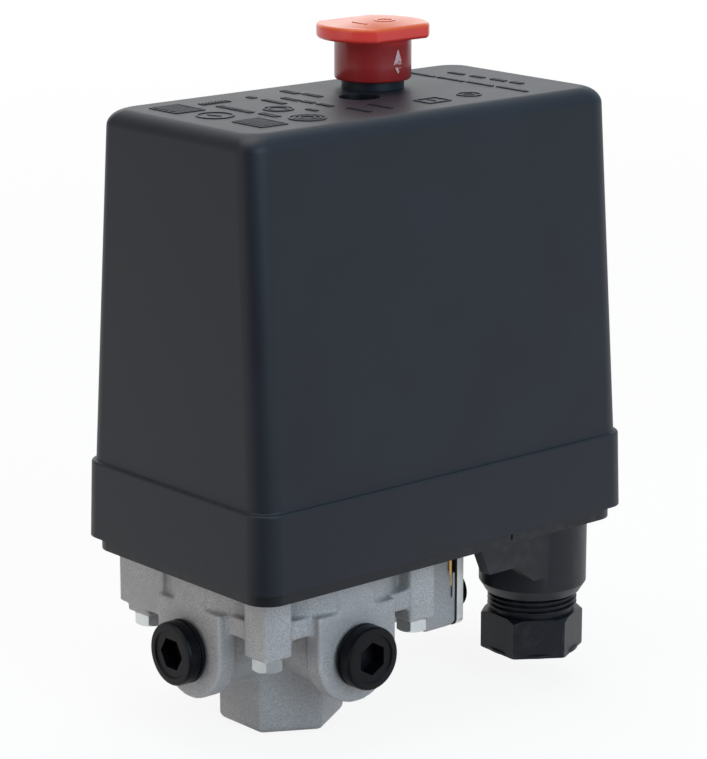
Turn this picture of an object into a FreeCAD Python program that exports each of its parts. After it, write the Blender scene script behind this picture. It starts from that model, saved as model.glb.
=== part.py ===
"""Air compressor pressure switch with a four-way manifold, a push-pull knob and a cable gland.

The part stands in its own frame: the origin is the centre of the tank port's mouth, +Z is up,
+X runs along the long side towards the cable gland, and -Y is the front. Lengths are millimetres.
"""
import FreeCAD
import Part
import Sketcher
import os

V = FreeCAD.Vector
PREFIX = "Sizes."
HEX_CORNER = 1.1547005  # corner radius of a hexagon over half its width across flats

document = FreeCAD.newDocument("pressure_switch")
sheet = document.addObject("Spreadsheet::Sheet", "Sizes")


class Size:
    """A length that knows its value now and the expression over the sheet that keeps it."""

    def __init__(self, value, text):
        self.value = value
        self.text = text

    @staticmethod
    def of(other):
        if isinstance(other, Size):
            return other
        return Size(float(other), f"({float(other):.9g})")

    def __add__(self, other):
        other = Size.of(other)
        return Size(self.value + other.value, f"({self.text} + {other.text})")

    def __sub__(self, other):
        other = Size.of(other)
        return Size(self.value - other.value, f"({self.text} - {other.text})")

    def __mul__(self, other):
        other = Size.of(other)
        return Size(self.value * other.value, f"({self.text} * {other.text})")

    def __truediv__(self, other):
        other = Size.of(other)
        return Size(self.value / other.value, f"({self.text} / {other.text})")

    def __neg__(self):
        return Size.of(0) - self

    def __radd__(self, other):
        return Size.of(other) + self

    def __rsub__(self, other):
        return Size.of(other) - self

    def __rmul__(self, other):
        return Size.of(other) * self


row_count = 0


def size(alias, value):
    """Writes one driving dimension into the sheet and returns it."""
    global row_count
    row_count += 1
    sheet.set(f"A{row_count}", alias)
    sheet.set(f"B{row_count}", str(value))
    sheet.setAlias(f"B{row_count}", alias)
    return Size(float(value), PREFIX + alias)


# ---- driving dimensions -------------------------------------------------------------------
# fits and gaps
run_gap = size("run_gap", 0.05)  # radial clearance of a turning or sliding fit
free_gap = size("free_gap", 0.3)  # space between parts that only pass each other
drill_gap = size("drill_gap", 0.3)  # radial clearance of a screw in a plain hole

# manifold casting
port_flats = size("port_flats", 30)
port_bore = size("port_bore_radius", 9.3)
port_depth = size("port_depth", 16)
port_height = size("port_height", 22)
port_chamfer = size("port_chamfer", 3)
core_radius = size("core_radius", 15)
deck = size("deck_height", 46.7)  # joint between the manifold and the base
disc_radius = size("disc_radius", 31.9)
disc_thickness = size("disc_thickness", 7.8)
disc_bottom = deck - disc_thickness
rib_depth = size("rib_depth", 13.1)
rib_bottom = deck - rib_depth
side_axis = size("side_port_height", 26.3)
boss_face = size("boss_face", 32.3)
boss_depth = size("boss_depth", 6)
boss_radius = size("boss_radius", 13.5)
fairing_half = size("fairing_half", 6)
fairing_rise = size("fairing_rise", 5)
fairing_root = size("fairing_root", 4)
side_bore = size("side_bore_radius", 6.6)
side_bore_depth = size("side_bore_depth", 13)
gallery_radius = size("gallery_radius", 4)
lug_width = size("lug_width", 9.4)
lug_round = size("lug_round", 2.2)
lug_edge = size("lug_edge", 0.9)
lug_length = size("lug_length", 17.2)
lug_bottom = deck - lug_length
bolt_place = size("bolt_place", 25.4)  # half the side of the square of four bolts
rib_margin = size("rib_margin", 4)
rib_half = bolt_place + rib_margin
corner_pad_margin = size("corner_pad_margin", 6)
corner_pad_reach = bolt_place + corner_pad_margin
corner_pad_start = size("corner_pad_start", 12)
corner_pad_depth = size("corner_pad_depth", 14.7)
corner_pad_bottom = deck - corner_pad_depth

# bolts
bolt_radius = size("bolt_radius", 2.5)
bolt_flats = size("bolt_flats", 8)
bolt_head = size("bolt_head_height", 3.5)
bolt_reach = size("bolt_reach", 1.6)  # thread that stands above the frame

# plugs of the side ports
plug_radius = size("plug_radius", 8.75)
plug_head = size("plug_head", 5.2)
plug_socket_flats = size("plug_socket_flats", 8)
plug_socket_depth = size("plug_socket_depth", 4.5)
plug_ring_radius = size("plug_ring_radius", 6.3)
plug_ring_depth = size("plug_ring_depth", 0.4)
plug_thread = size("plug_thread_length", 10)
plug_seal_thickness = size("plug_seal_thickness", 1)
plug_seal_radius = size("plug_seal_radius", 8.2)

# unloader valve on the +X side
valve_block_start = size("valve_block_start", 36.8)
valve_block_length = size("valve_block_length", 11.8)
valve_block_end = valve_block_start + valve_block_length
valve_block_half = size("valve_block_half", 18)
valve_neck_half = size("valve_neck_half", 14)
valve_block_bottom = size("valve_block_bottom", 19.4)
valve_shelf_depth = size("valve_shelf_depth", 3.2)
valve_shelf = deck - valve_shelf_depth
valve_notch_depth = size("valve_notch_depth", 2.7)
valve_notch_start = valve_block_end - valve_notch_depth
valve_notch_height = size("valve_notch_height", 11.2)
valve_notch_bottom = deck - valve_notch_height
valve_notch_width = size("valve_notch_width", 8)
valve_gasket = size("valve_gasket", 0.5)
valve_plate = size("valve_plate", 2.4)
valve_screw_margin = size("valve_screw_margin", 4.8)
valve_screw_place = valve_block_half - valve_screw_margin
valve_screw_rise = size("valve_screw_rise", 5.1)
valve_screw_low = valve_block_bottom + valve_screw_rise
valve_screw_depth = size("valve_screw_depth", 8.2)
valve_screw_high = deck - valve_screw_depth
valve_screw_radius = size("valve_screw_radius", 1.5)
valve_screw_head = size("valve_screw_head", 2)
valve_screw_length = size("valve_screw_length", 9)
pin_inset_x = size("pin_inset_x", 1.4)
pin_x = valve_block_end - pin_inset_x
pin_inset_y = size("pin_inset_y", 1.3)
pin_y = pin_inset_y - valve_block_half
pin_radius = size("pin_radius", 0.95)
pin_well = size("pin_well", 3.5)
pin_depth = size("pin_depth", 15.7)
pin_bottom = deck - pin_depth
pin_rise = size("pin_rise", 9.3)
pin_top = deck + pin_rise
fitting_y = size("fitting_place_y", -4)
fitting_rise = size("fitting_rise", 5.2)
fitting_z = valve_block_bottom + fitting_rise
fitting_radius = size("fitting_radius", 5.5)
fitting_length = size("fitting_length", 9.4)
fitting_tube = size("fitting_tube_radius", 3.05)
fitting_flats = size("fitting_flats", 10)

# housing
housing_x = size("housing_centre_x", 28.4)
lip_half_x = size("lip_half_x", 64.8)
lip_half_y = size("lip_half_y", 37.2)
lip_height = size("lip_height", 3.7)
floor_top = deck + lip_height
lip_corner = size("lip_corner", 7)
lip_ledge = size("lip_ledge", 0.5)
pad_height = size("pad_height", 0.8)
pad_margin = size("pad_margin", 0.4)
wall = size("wall", 2.2)
rim_height = size("rim_height", 12)
skirt_overhang_x = size("skirt_overhang_x", 2.1)
skirt_overhang_y = size("skirt_overhang_y", 2.2)
skirt_low_x = lip_half_x + skirt_overhang_x
skirt_low_y = lip_half_y + skirt_overhang_y
skirt_draft = size("skirt_draft", 0.5)
skirt_high_x = skirt_low_x - skirt_draft
skirt_high_y = skirt_low_y - skirt_draft
ledge_x = size("ledge_x", 0.9)
ledge_y = size("ledge_y", 1)
shell_low_x = skirt_high_x - ledge_x
shell_low_y = skirt_high_y - ledge_y
shell_taper_x = size("shell_taper_x", 1.6)
shell_taper_y = size("shell_taper_y", 6.3)
shell_high_x = shell_low_x - shell_taper_x
shell_high_y = shell_low_y - shell_taper_y
skirt_height = size("skirt_height", 21.4)
shell_height = size("shell_height", 96.8)
skirt_bottom = floor_top + lip_ledge + free_gap
skirt_top = skirt_bottom + skirt_height
cover_top = skirt_top + shell_height
cover_corner = size("cover_corner", 7)
cover_edge = size("cover_edge", 4.5)

# cover screw in its recess
recess_radius = size("recess_radius", 5.6)
recess_depth = size("recess_depth", 19.4)
recess_floor = cover_top - recess_depth
cover_screw_radius = size("cover_screw_radius", 2)
cover_screw_head = size("cover_screw_head_radius", 3.8)
cover_screw_cap = size("cover_screw_head_height", 2.6)
cover_screw_length = size("cover_screw_length", 12)
post_flats = size("post_flats", 8)

# knob
knob_out = size("knob_out", 14.7)  # from the housing's middle towards the contacts
knob_x = housing_x + knob_out
knob_y = size("knob_place_y", 11.3)
knob_travel = size("knob_travel", 2.2)
collar_radius = size("collar_radius", 8.6)
collar_rise = size("collar_rise", 6.6)
collar_top = cover_top + collar_rise
stem_radius = size("stem_radius", 5)
clip_radius = size("clip_radius", 7.5)
clip_thickness = size("clip_thickness", 1.1)
knob_clip_bottom = cover_top - wall - wall - free_gap - clip_thickness
stem_tail = size("stem_tail", 5.3)
stem_bottom = knob_clip_bottom - stem_tail
cup_radius = size("cup_radius", 10.6)
cup_gap = size("cup_gap", 0.1)  # left over the cover when the knob is pushed
cup_height = size("cup_height", 12)
cup_roof = size("cup_roof", 3.7)
cup_round = size("cup_round", 0.7)
cup_bottom = cover_top + knob_travel + cup_gap
flange_bottom = cup_bottom + cup_height
cup_ceiling = flange_bottom - cup_roof
flange_radius = size("flange_radius", 15.5)
flange_flat = size("flange_flat", 12.5)
flange_thickness = size("flange_thickness", 3.4)
flange_top = flange_bottom + flange_thickness
flange_round = size("flange_round", 1.1)

# cable gland
leg_inset_x = size("leg_inset_x", 18.2)
leg_inset_y = size("leg_inset_y", 15.7)
leg_x = housing_x + lip_half_x - leg_inset_x
leg_y = leg_inset_y - lip_half_y
leg_radius = size("leg_radius", 15.25)
leg_length = size("leg_length", 20.3)
leg_end = deck - leg_length
leg_taper = size("leg_taper", 2.8)
leg_end_radius = size("leg_end_radius", 13.5)
web_left = size("web_left", 41.3)
web_foot = size("web_foot", 45.6)
web_step = size("web_step", 55.5)
web_right = size("web_right", 62.5)
web_low_depth = size("web_low_depth", 7.4)
web_low = deck - web_low_depth
web_full_depth = size("web_full_depth", 12.8)
web_lowest = deck - web_full_depth
web_thickness = size("web_thickness", 3.9)
web_inset = size("web_inset", 2.3)
slit_x = size("slit_place_x", 51.6)
slit_width = size("slit_width", 0.6)
slit_depth = size("slit_depth", 0.8)
gland_thread = size("gland_thread_radius", 12.7)
gland_thread_depth = size("gland_thread_depth", 0.9)
gland_pitch = size("gland_pitch", 1.5)
gland_flats = size("gland_flats", 25.4)
gland_head = size("gland_head", 11.3)
gland_gap = size("gland_gap", 6.1)  # between the leg and the head
gland_bottom = leg_end - gland_gap - gland_head
gland_shank = size("gland_shank", 12)
gland_hole = size("gland_hole", 7)
gland_rim = size("gland_rim", 0.5)
gland_turned = size("gland_turned", -4.5)  # degrees from a corner that points to the front
washer_thickness = size("washer_thickness", 0.6)
seal_length = size("seal_length", 5.2)
cable_hole = size("cable_hole_radius", 8)

# diaphragm and plunger
diaphragm_radius = size("diaphragm_radius", 15.9)
diaphragm_thickness = size("diaphragm_thickness", 2)
chamber_radius = size("chamber_radius", 11)
chamber_depth = size("chamber_depth", 4)
plunger_radius = size("plunger_radius", 12)
plunger_plate = size("plunger_plate", 2)
plunger_stem = size("plunger_stem_radius", 5)
plunger_nose = size("plunger_nose_radius", 1)
lever_rise = size("lever_rise", 9.6)
lever_height = floor_top + lever_rise  # underside of the lever's web

# range spring, its nut and its screw
steel = size("steel_thickness", 2)
spring_wire = size("spring_wire_radius", 1.5)
spring_mean = size("spring_mean_radius", 9.5)
spring_pitch = size("spring_pitch", 6)
spring_height = size("spring_height", 42)
spring_seat_radius = size("spring_seat_radius", 12.5)
spring_seat_thickness = size("spring_seat_thickness", 1.5)
spring_pilot_radius = size("spring_pilot_radius", 7.6)
spring_pilot_height = size("spring_pilot_height", 4)
seat_bottom = lever_height + steel
coil_start = seat_bottom + spring_seat_thickness + spring_wire
range_plate_thickness = size("range_plate_thickness", 5)
range_plate_half = size("range_plate_half_x", 13)
range_plate_bottom = coil_start + spring_height + spring_wire
range_screw_radius = size("range_screw_radius", 3)
range_screw_drop = size("range_screw_drop", 24.5)
range_screw_bottom = range_plate_bottom - range_screw_drop
range_shoulder_radius = size("range_shoulder_radius", 6)
range_shoulder = size("range_shoulder_height", 2.3)
range_stub_radius = size("range_stub_radius", 4)
range_stub_rise = size("range_stub_rise", 8)
slot_width = size("screw_slot_width", 1.2)
slot_depth = size("screw_slot_depth", 1.6)
bridge_room = size("bridge_room", 14.5)  # from the nut up to the bridge
bridge_thickness = size("bridge_thickness", 3)
bridge_bottom = range_plate_bottom + range_plate_thickness + bridge_room
range_stub_top = bridge_bottom + bridge_thickness + range_stub_rise

# contact block
block_left = size("block_left", 48)
block_length = size("block_length", 39.5)
block_right = block_left + block_length
block_half = size("block_half", 30)
block_rise = size("block_rise", 27.6)
block_height = size("block_height", 14)
block_bottom = floor_top + block_rise
block_top = block_bottom + block_height
block_wall = size("block_wall", 2.5)
block_cavity_half = size("block_cavity_half", 14)
block_leg = size("block_leg", 5)
barrier_height = size("barrier_height", 7)
barrier_thickness = size("barrier_thickness", 1.6)
pole_inset = size("pole_inset", 9)
pole_start = block_left + pole_inset
pole_pitch = size("pole_pitch", 11)
carrier_inset_left = size("carrier_inset_left", 4)
carrier_inset_right = size("carrier_inset_right", 3.5)
carrier_left = block_left + carrier_inset_left
carrier_right = block_right - carrier_inset_right
carrier_half = size("carrier_half", 5)
carrier_sink = size("carrier_sink", 12)
carrier_arm_rise = size("carrier_arm_rise", 4)
carrier_rise = size("carrier_rise", 8)
carrier_bottom = block_top - carrier_sink
carrier_arm_bottom = block_top + carrier_arm_rise
carrier_top = block_top + carrier_rise

# rocker between the lever and the contacts
earth_washer = size("earth_washer_thickness", 1)
rocker_x = size("rocker_pivot_x", 36)
rocker_rise = size("rocker_rise", 8)
rocker_height = carrier_top + rocker_rise
rocker_pin = size("rocker_pin_radius", 1.5)
rocker_half = size("rocker_half_height", 3)
rocker_bottom = rocker_height - rocker_half
rocker_top = rocker_height + rocker_half
rocker_left_arm = size("rocker_left_arm", 10)
rocker_right_arm = size("rocker_right_arm", 12)
rocker_left = rocker_x - rocker_left_arm
rocker_right = rocker_x + rocker_right_arm
rocker_nose = size("rocker_nose", 3)

# main lever
pivot_x = size("lever_pivot_x", -24)
pivot_rise = size("lever_pivot_rise", 2)
pivot_height = lever_height + pivot_rise
pivot_radius = size("pivot_radius", 2)
lever_web_left = size("lever_web_left", -20)
lever_web_right = size("lever_web_right", 18)
lever_half = size("lever_half", 16)
lever_flange = size("lever_flange", 8)
lever_drop = size("lever_drop", 2)
lever_tail = size("lever_tail", 4)
finger_width = size("finger_width", 4)
finger_left = rocker_left
finger_right = finger_left + finger_width
finger_gap = size("finger_gap", 3)
finger_top = rocker_bottom - finger_gap

# steel frame
frame_left = size("frame_left", -30.5)
frame_right = size("frame_right", 40)
frame_half = size("frame_half", 30)
cheek_half = size("cheek_half", 21)
cheek_right = size("cheek_right", 22)
cheek_inset = size("cheek_inset", 1)
cheek_left_rise = size("cheek_left_rise", 6)
cheek_left_top = pivot_height + cheek_left_rise
cheek_slope = size("cheek_slope", 14)
rocker_ear = size("rocker_ear", 4)
rocker_ear_rise = size("rocker_ear_rise", 6)
rocker_ear_drop = size("rocker_ear_drop", 7)
rocker_arm_top = rocker_height + rocker_ear_rise
rocker_arm_bottom = rocker_height - rocker_ear_drop
cheek_step_drop = size("cheek_step_drop", 16)
cheek_step = rocker_height - cheek_step_drop
upright_half = size("upright_half", 10)

# terminals and moving contacts
terminal_width = size("terminal_width", 8)
terminal_inner = size("terminal_inner", 7)
terminal_margin = size("terminal_margin", 1)
terminal_outer = block_half - terminal_margin
terminal_thickness = size("terminal_thickness", 1.5)
tip_radius = size("tip_radius", 2)
tip_height = size("tip_height", 1.2)
tip_place = size("tip_place", 10)
contact_gap = size("contact_gap", 0.1)
bridge_strip_width = size("bridge_strip_width", 6)
bridge_strip_half = size("bridge_strip_half", 13)
bridge_strip = size("bridge_strip_thickness", 1.2)
terminal_screw_margin = size("terminal_screw_margin", 6.5)
terminal_screw_place = block_half - terminal_screw_margin
terminal_screw_radius = size("terminal_screw_radius", 2)
terminal_screw_head = size("terminal_screw_head_radius", 3.6)
terminal_screw_cap = size("terminal_screw_head_height", 2.4)
terminal_screw_length = size("terminal_screw_length", 10)

# arm of the carrier and the rod between it and the knob
carrier_arm_left = size("carrier_arm_left", 38)
window_gap = size("window_gap", 0.2)
window_depth = size("window_depth", 4.3)
foot_half = size("foot_half", 2)
rod_radius = size("rod_radius", 4)
guide_radius = size("guide_radius", 6.5)
guide_rise = size("guide_rise", 19)
guide_length = size("guide_length", 11)
guide_bottom = block_top + guide_rise
guide_top = guide_bottom + guide_length
guide_post = size("guide_post_thickness", 3.3)
guide_post_width = size("guide_post_width", 6)
guide_arm_width = size("guide_arm_width", 5.5)
guide_side = size("guide_side", 0.7)  # from the knob's middle to the arm
contact_spring_wire = size("contact_spring_wire", 0.35)
contact_spring_radius = size("contact_spring_radius", 1.9)

document.recompute()


# ---- building blocks ----------------------------------------------------------------------
def bind(item, **lengths):
    """Binds properties of an object to expressions over the sheet."""
    for name, length in lengths.items():
        item.setExpression(name.replace("_at_", "."), Size.of(length).text)
    return item


def place(item, x=0, y=0, z=0):
    """Binds an object's position to the sheet."""
    item.setExpression("Placement.Base.x", Size.of(x).text)
    item.setExpression("Placement.Base.y", Size.of(y).text)
    item.setExpression("Placement.Base.z", Size.of(z).text)
    return item


TURN = {
    "+z": FreeCAD.Rotation(),
    "+x": FreeCAD.Rotation(V(0, 1, 0), 90),
    "-x": FreeCAD.Rotation(V(0, 1, 0), -90),
    "+y": FreeCAD.Rotation(V(1, 0, 0), -90),
    "-y": FreeCAD.Rotation(V(1, 0, 0), 90),
    "-z": FreeCAD.Rotation(V(1, 0, 0), 180),
}


def box(x, y, z):
    """A block between low and high values along each axis."""
    item = document.addObject("Part::Box", "block")
    bind(item, Length=x[1] - x[0], Width=y[1] - y[0], Height=z[1] - z[0])
    return place(item, x[0], y[0], z[0])


def rod(radius, length, x=0, y=0, z=0, axis="+z"):
    """A round bar that starts at a point and runs along an axis."""
    item = document.addObject("Part::Cylinder", "round")
    bind(item, Radius=radius, Height=length)
    item.Placement.Rotation = TURN[axis]
    return place(item, x, y, z)


def cone(low, high, length, x=0, y=0, z=0, axis="+z"):
    """A round taper from one radius to another."""
    item = document.addObject("Part::Cone", "taper")
    bind(item, Radius1=low, Radius2=high, Height=length)
    item.Placement.Rotation = TURN[axis]
    return place(item, x, y, z)


def hexagon(flats, length, x=0, y=0, z=0, axis="+z", turned=0):
    """A hexagonal bar, given across its flats, with a corner towards -Y when it stands upright."""
    item = document.addObject("Part::Prism", "hexagon")
    item.Polygon = 6
    bind(item, Circumradius=flats * HEX_CORNER / 2, Height=length)
    corner = FreeCAD.Rotation(V(0, 0, 1), 30 + turned)
    item.Placement.Rotation = TURN[axis].multiply(corner)
    return place(item, x, y, z)


def fuse(*pieces):
    item = document.addObject("Part::MultiFuse", "joined")
    item.Shapes = list(pieces)
    item.Refine = True
    return item


def cut(base, *tools):
    tool = tools[0] if len(tools) == 1 else fuse(*tools)
    item = document.addObject("Part::Cut", "cut")
    item.Base = base
    item.Tool = tool
    return item


def common(first, second):
    item = document.addObject("Part::Common", "overlap")
    item.Base = first
    item.Tool = second
    return item


def group(*pieces):
    """Separate like pieces kept together in one node."""
    item = document.addObject("Part::Compound", "group")
    item.Links = list(pieces)
    return item


def edges_where(shape, test):
    """Numbers of the edges of a shape that pass a test."""
    return [index for index, edge in enumerate(shape.Edges, 1) if test(edge)]


def rounded(base, radius, test):
    """Rounds the edges of an object that pass a test."""
    document.recompute()
    item = document.addObject("Part::Fillet", "rounded")
    item.Base = base
    item.Edges = [(index, radius.value, radius.value) for index in edges_where(base.Shape, test)]
    return item


def upright(edge):
    """Whether an edge is straight and close to vertical."""
    if edge.Curve.TypeId != "Part::GeomLine":
        return False
    ends = [vertex.Point for vertex in edge.Vertexes]
    return abs(ends[0].z - ends[1].z) > 0.9 * edge.Length


def level_at(height, margin=0.01):
    """A test for edges that lie at one height."""
    return lambda edge: all(abs(vertex.Z - height.value) < margin for vertex in edge.Vertexes)


nodes = []


def node(label, item):
    """Names a finished sub-part and keeps it for export."""
    item.Label = label
    nodes.append(item)
    return item


# ---- sketched features --------------------------------------------------------------------
def origin_plane(body, role):
    return next(feature for feature in body.Origin.OriginFeatures if feature.Role == role)


def sketch_on(body, role, offset=0):
    """A sketch on one of the body's own planes, moved along that plane's normal."""
    sketch = body.newObject("Sketcher::SketchObject", "sketch")
    sketch.AttachmentSupport = (origin_plane(body, role), [""])
    sketch.MapMode = "FlatFace"
    sketch.setExpression("AttachmentOffset.Base.z", Size.of(offset).text)
    return sketch


def outline(sketch, points):
    """A closed outline of straight lines with every corner dimensioned from the sketch's origin."""
    points = [(Size.of(first), Size.of(second)) for first, second in points]
    start = sketch.GeometryCount
    count = len(points)
    for index, (first, second) in enumerate(points):
        far, up = points[(index + 1) % count]
        line = Part.LineSegment(V(first.value, second.value, 0), V(far.value, up.value, 0))
        sketch.addGeometry(line, False)
    for index in range(count):
        sketch.addConstraint(Sketcher.Constraint("Coincident", start + index, 2, start + (index + 1) % count, 1))
    for index, pair in enumerate(points):
        for kind, length in zip(("DistanceX", "DistanceY"), pair):
            number = sketch.addConstraint(Sketcher.Constraint(kind, -1, 1, start + index, 1, length.value))
            sketch.setExpression(f"Constraints[{number}]", length.text)


def rectangle(sketch, x, y):
    outline(sketch, [(x[0], y[0]), (x[1], y[0]), (x[1], y[1]), (x[0], y[1])])


def rounded_rectangle(sketch, centre, half_x, half_y, radius):
    """A rectangle with four equal round corners, centred on the sketch's X axis."""
    left, right = centre - half_x, centre + half_x
    low, high, r = -half_y.value, half_y.value, radius.value
    x0, x1 = left.value, right.value
    ends = [
        ((x0 + r, low), (x1 - r, low)),
        ((x1, low + r), (x1, high - r)),
        ((x1 - r, high), (x0 + r, high)),
        ((x0, high - r), (x0, low + r)),
    ]
    middles = [(x1 - r, low + r), (x1 - r, high - r), (x0 + r, high - r), (x0 + r, low + r)]
    quarter = 1.5707963267948966
    for index in range(4):
        start, end = ends[index]
        sketch.addGeometry(Part.LineSegment(V(*start, 0), V(*end, 0)), False)
        full = Part.Circle(V(*middles[index], 0), V(0, 0, 1), r)
        arc = Part.ArcOfCircle(full, (index - 1) * quarter, index * quarter)
        sketch.addGeometry(arc, False)
    for index in range(4):
        line, arc, following = 2 * index, 2 * index + 1, (2 * index + 2) % 8
        sketch.addConstraint(Sketcher.Constraint("Tangent", line, 2, arc, 1))
        sketch.addConstraint(Sketcher.Constraint("Tangent", arc, 2, following, 1))
        if index:
            sketch.addConstraint(Sketcher.Constraint("Equal", 1, arc))
    for line, kind in ((0, "Horizontal"), (2, "Vertical"), (4, "Horizontal"), (6, "Vertical")):
        sketch.addConstraint(Sketcher.Constraint(kind, line))
    sides = (("DistanceY", 0, -half_y), ("DistanceX", 2, right), ("DistanceY", 4, half_y), ("DistanceX", 6, left))
    for kind, line, length in sides:
        number = sketch.addConstraint(Sketcher.Constraint(kind, -1, 1, line, 1, length.value))
        sketch.setExpression(f"Constraints[{number}]", length.text)
    number = sketch.addConstraint(Sketcher.Constraint("Radius", 1, r))
    sketch.setExpression(f"Constraints[{number}]", radius.text)


def circle(sketch, x, y, radius):
    """A circle with its centre and radius dimensioned."""
    x, y, radius = Size.of(x), Size.of(y), Size.of(radius)
    index = sketch.addGeometry(Part.Circle(V(x.value, y.value, 0), V(0, 0, 1), radius.value), False)
    for kind, length in (("DistanceX", x), ("DistanceY", y)):
        number = sketch.addConstraint(Sketcher.Constraint(kind, -1, 1, index, 3, length.value))
        sketch.setExpression(f"Constraints[{number}]", length.text)
    number = sketch.addConstraint(Sketcher.Constraint("Radius", index, radius.value))
    sketch.setExpression(f"Constraints[{number}]", radius.text)


def new_body(label):
    body = document.addObject("PartDesign::Body", label)
    return node(label, body)


def feature(body, kind, sketch, **lengths):
    """Adds a feature made from a sketch and checks that it changed the solid the right way."""
    before = body.Shape.Volume if body.Tip else 0.0
    item = body.newObject("PartDesign::" + kind, kind.lower())
    item.Profile = sketch
    for name, length in lengths.items():
        item.setExpression(name, Size.of(length).text)
    document.recompute()
    removes = kind in ("Pocket", "Groove", "SubtractiveLoft")
    grew = item.Shape.Volume > before
    if grew == removes:
        item.Reversed = True
        document.recompute()
        grew = item.Shape.Volume > before
    if grew == removes:
        raise RuntimeError(f"{body.Label}: {kind} works the wrong way")
    return item


def turned(label, profile, x=0, y=0, z=0, axis="+z"):
    """A turned piece: (radius, height) corners revolved about an axis through a point."""
    body = new_body(label)
    sketch = sketch_on(body, "XZ_Plane")
    outline(sketch, profile)
    item = body.newObject("PartDesign::Revolution", "revolution")
    item.Profile = sketch
    item.ReferenceAxis = (sketch, ["V_Axis"])
    item.Angle = 360
    body.Placement.Rotation = TURN[axis]
    place(body, x, y, z)
    return body


def loft(body, kind, low, high):
    """A straight-sided loft between two sketches; returns the feature."""
    item = body.newObject("PartDesign::" + kind, kind.lower())
    item.Profile = low
    item.Sections = [high]
    item.Ruled = True
    document.recompute()
    return item


def round_edges(body, base, radius, test):
    """Rounds edges of the body's last feature."""
    names = [f"Edge{index}" for index in edges_where(base.Shape, test)]
    item = body.newObject("PartDesign::Fillet", "fillet")
    item.Base = (base, names)
    item.setExpression("Radius", radius.text)
    document.recompute()
    return item


def both(half):
    return (-half, half)


def about(centre, half):
    return (centre - half, centre + half)


# ---- manifold casting ---------------------------------------------------------------------
def side_boss(axis):
    """The slab round one side port, with a bore from its face to the middle of the casting."""
    inner = boss_face - boss_depth
    top = disc_bottom
    if axis == "-y":
        slab = rod(boss_radius, boss_depth, 0, -inner, side_axis, axis)
        shank = box(both(boss_radius), (-boss_face, -inner), (side_axis, top))
        root = box(both(boss_radius - 2), (-inner, Size.of(0)), (side_axis, top))
    elif axis == "+y":
        slab = rod(boss_radius, boss_depth, 0, inner, side_axis, axis)
        shank = box(both(boss_radius), (inner, boss_face), (side_axis, top))
        root = box(both(boss_radius - 2), (Size.of(0), inner), (side_axis, top))
    else:
        slab = rod(boss_radius, boss_depth, -inner, 0, side_axis, axis)
        shank = box((-boss_face, -inner), both(boss_radius), (side_axis, top))
        root = box((-inner, Size.of(0)), both(boss_radius - 2), (side_axis, top))
    neck = rod(boss_radius - 2, inner, 0, 0, side_axis, axis)
    return [slab, shank, root, neck]


def side_bores(axis):
    """The threaded mouth of a side port and the gallery behind it."""
    signs = {"-y": (0, -1), "+y": (0, 1), "-x": (-1, 0)}
    along_x, along_y = signs[axis]
    start = boss_face - side_bore_depth
    mouth = rod(side_bore, side_bore_depth, start * along_x, start * along_y, side_axis, axis)
    gallery = rod(gallery_radius, start, 0, 0, side_axis, axis)
    return [mouth, gallery]


def corners():
    """The four places on the square of bolts."""
    return [(bolt_place * sign_x, bolt_place * sign_y) for sign_x in (-1, 1) for sign_y in (-1, 1)]


def boss_fairings():
    """Wedges that lead the top of each boss into the round deck above it."""
    wedges = []
    for axis, turn in (("-y", 0), ("+y", 180), ("-x", -90)):
        body = document.addObject("PartDesign::Body", "fairing")
        sketch = sketch_on(body, "YZ_Plane")
        outline(sketch, [
            (-boss_face, disc_bottom - 1),
            (-boss_face, disc_bottom),
            (-disc_radius + free_gap, disc_bottom + fairing_rise),
            (-disc_radius + fairing_root, disc_bottom + fairing_rise),
            (-disc_radius + fairing_root, disc_bottom - 1),
        ])
        pad = body.newObject("PartDesign::Pad", "pad")
        pad.Profile = sketch
        pad.setExpression("Length", (fairing_half * 2).text)
        pad.Midplane = True
        body.Placement.Rotation = FreeCAD.Rotation(V(0, 0, 1), turn)
        wedges.append(body)
    return wedges


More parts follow.
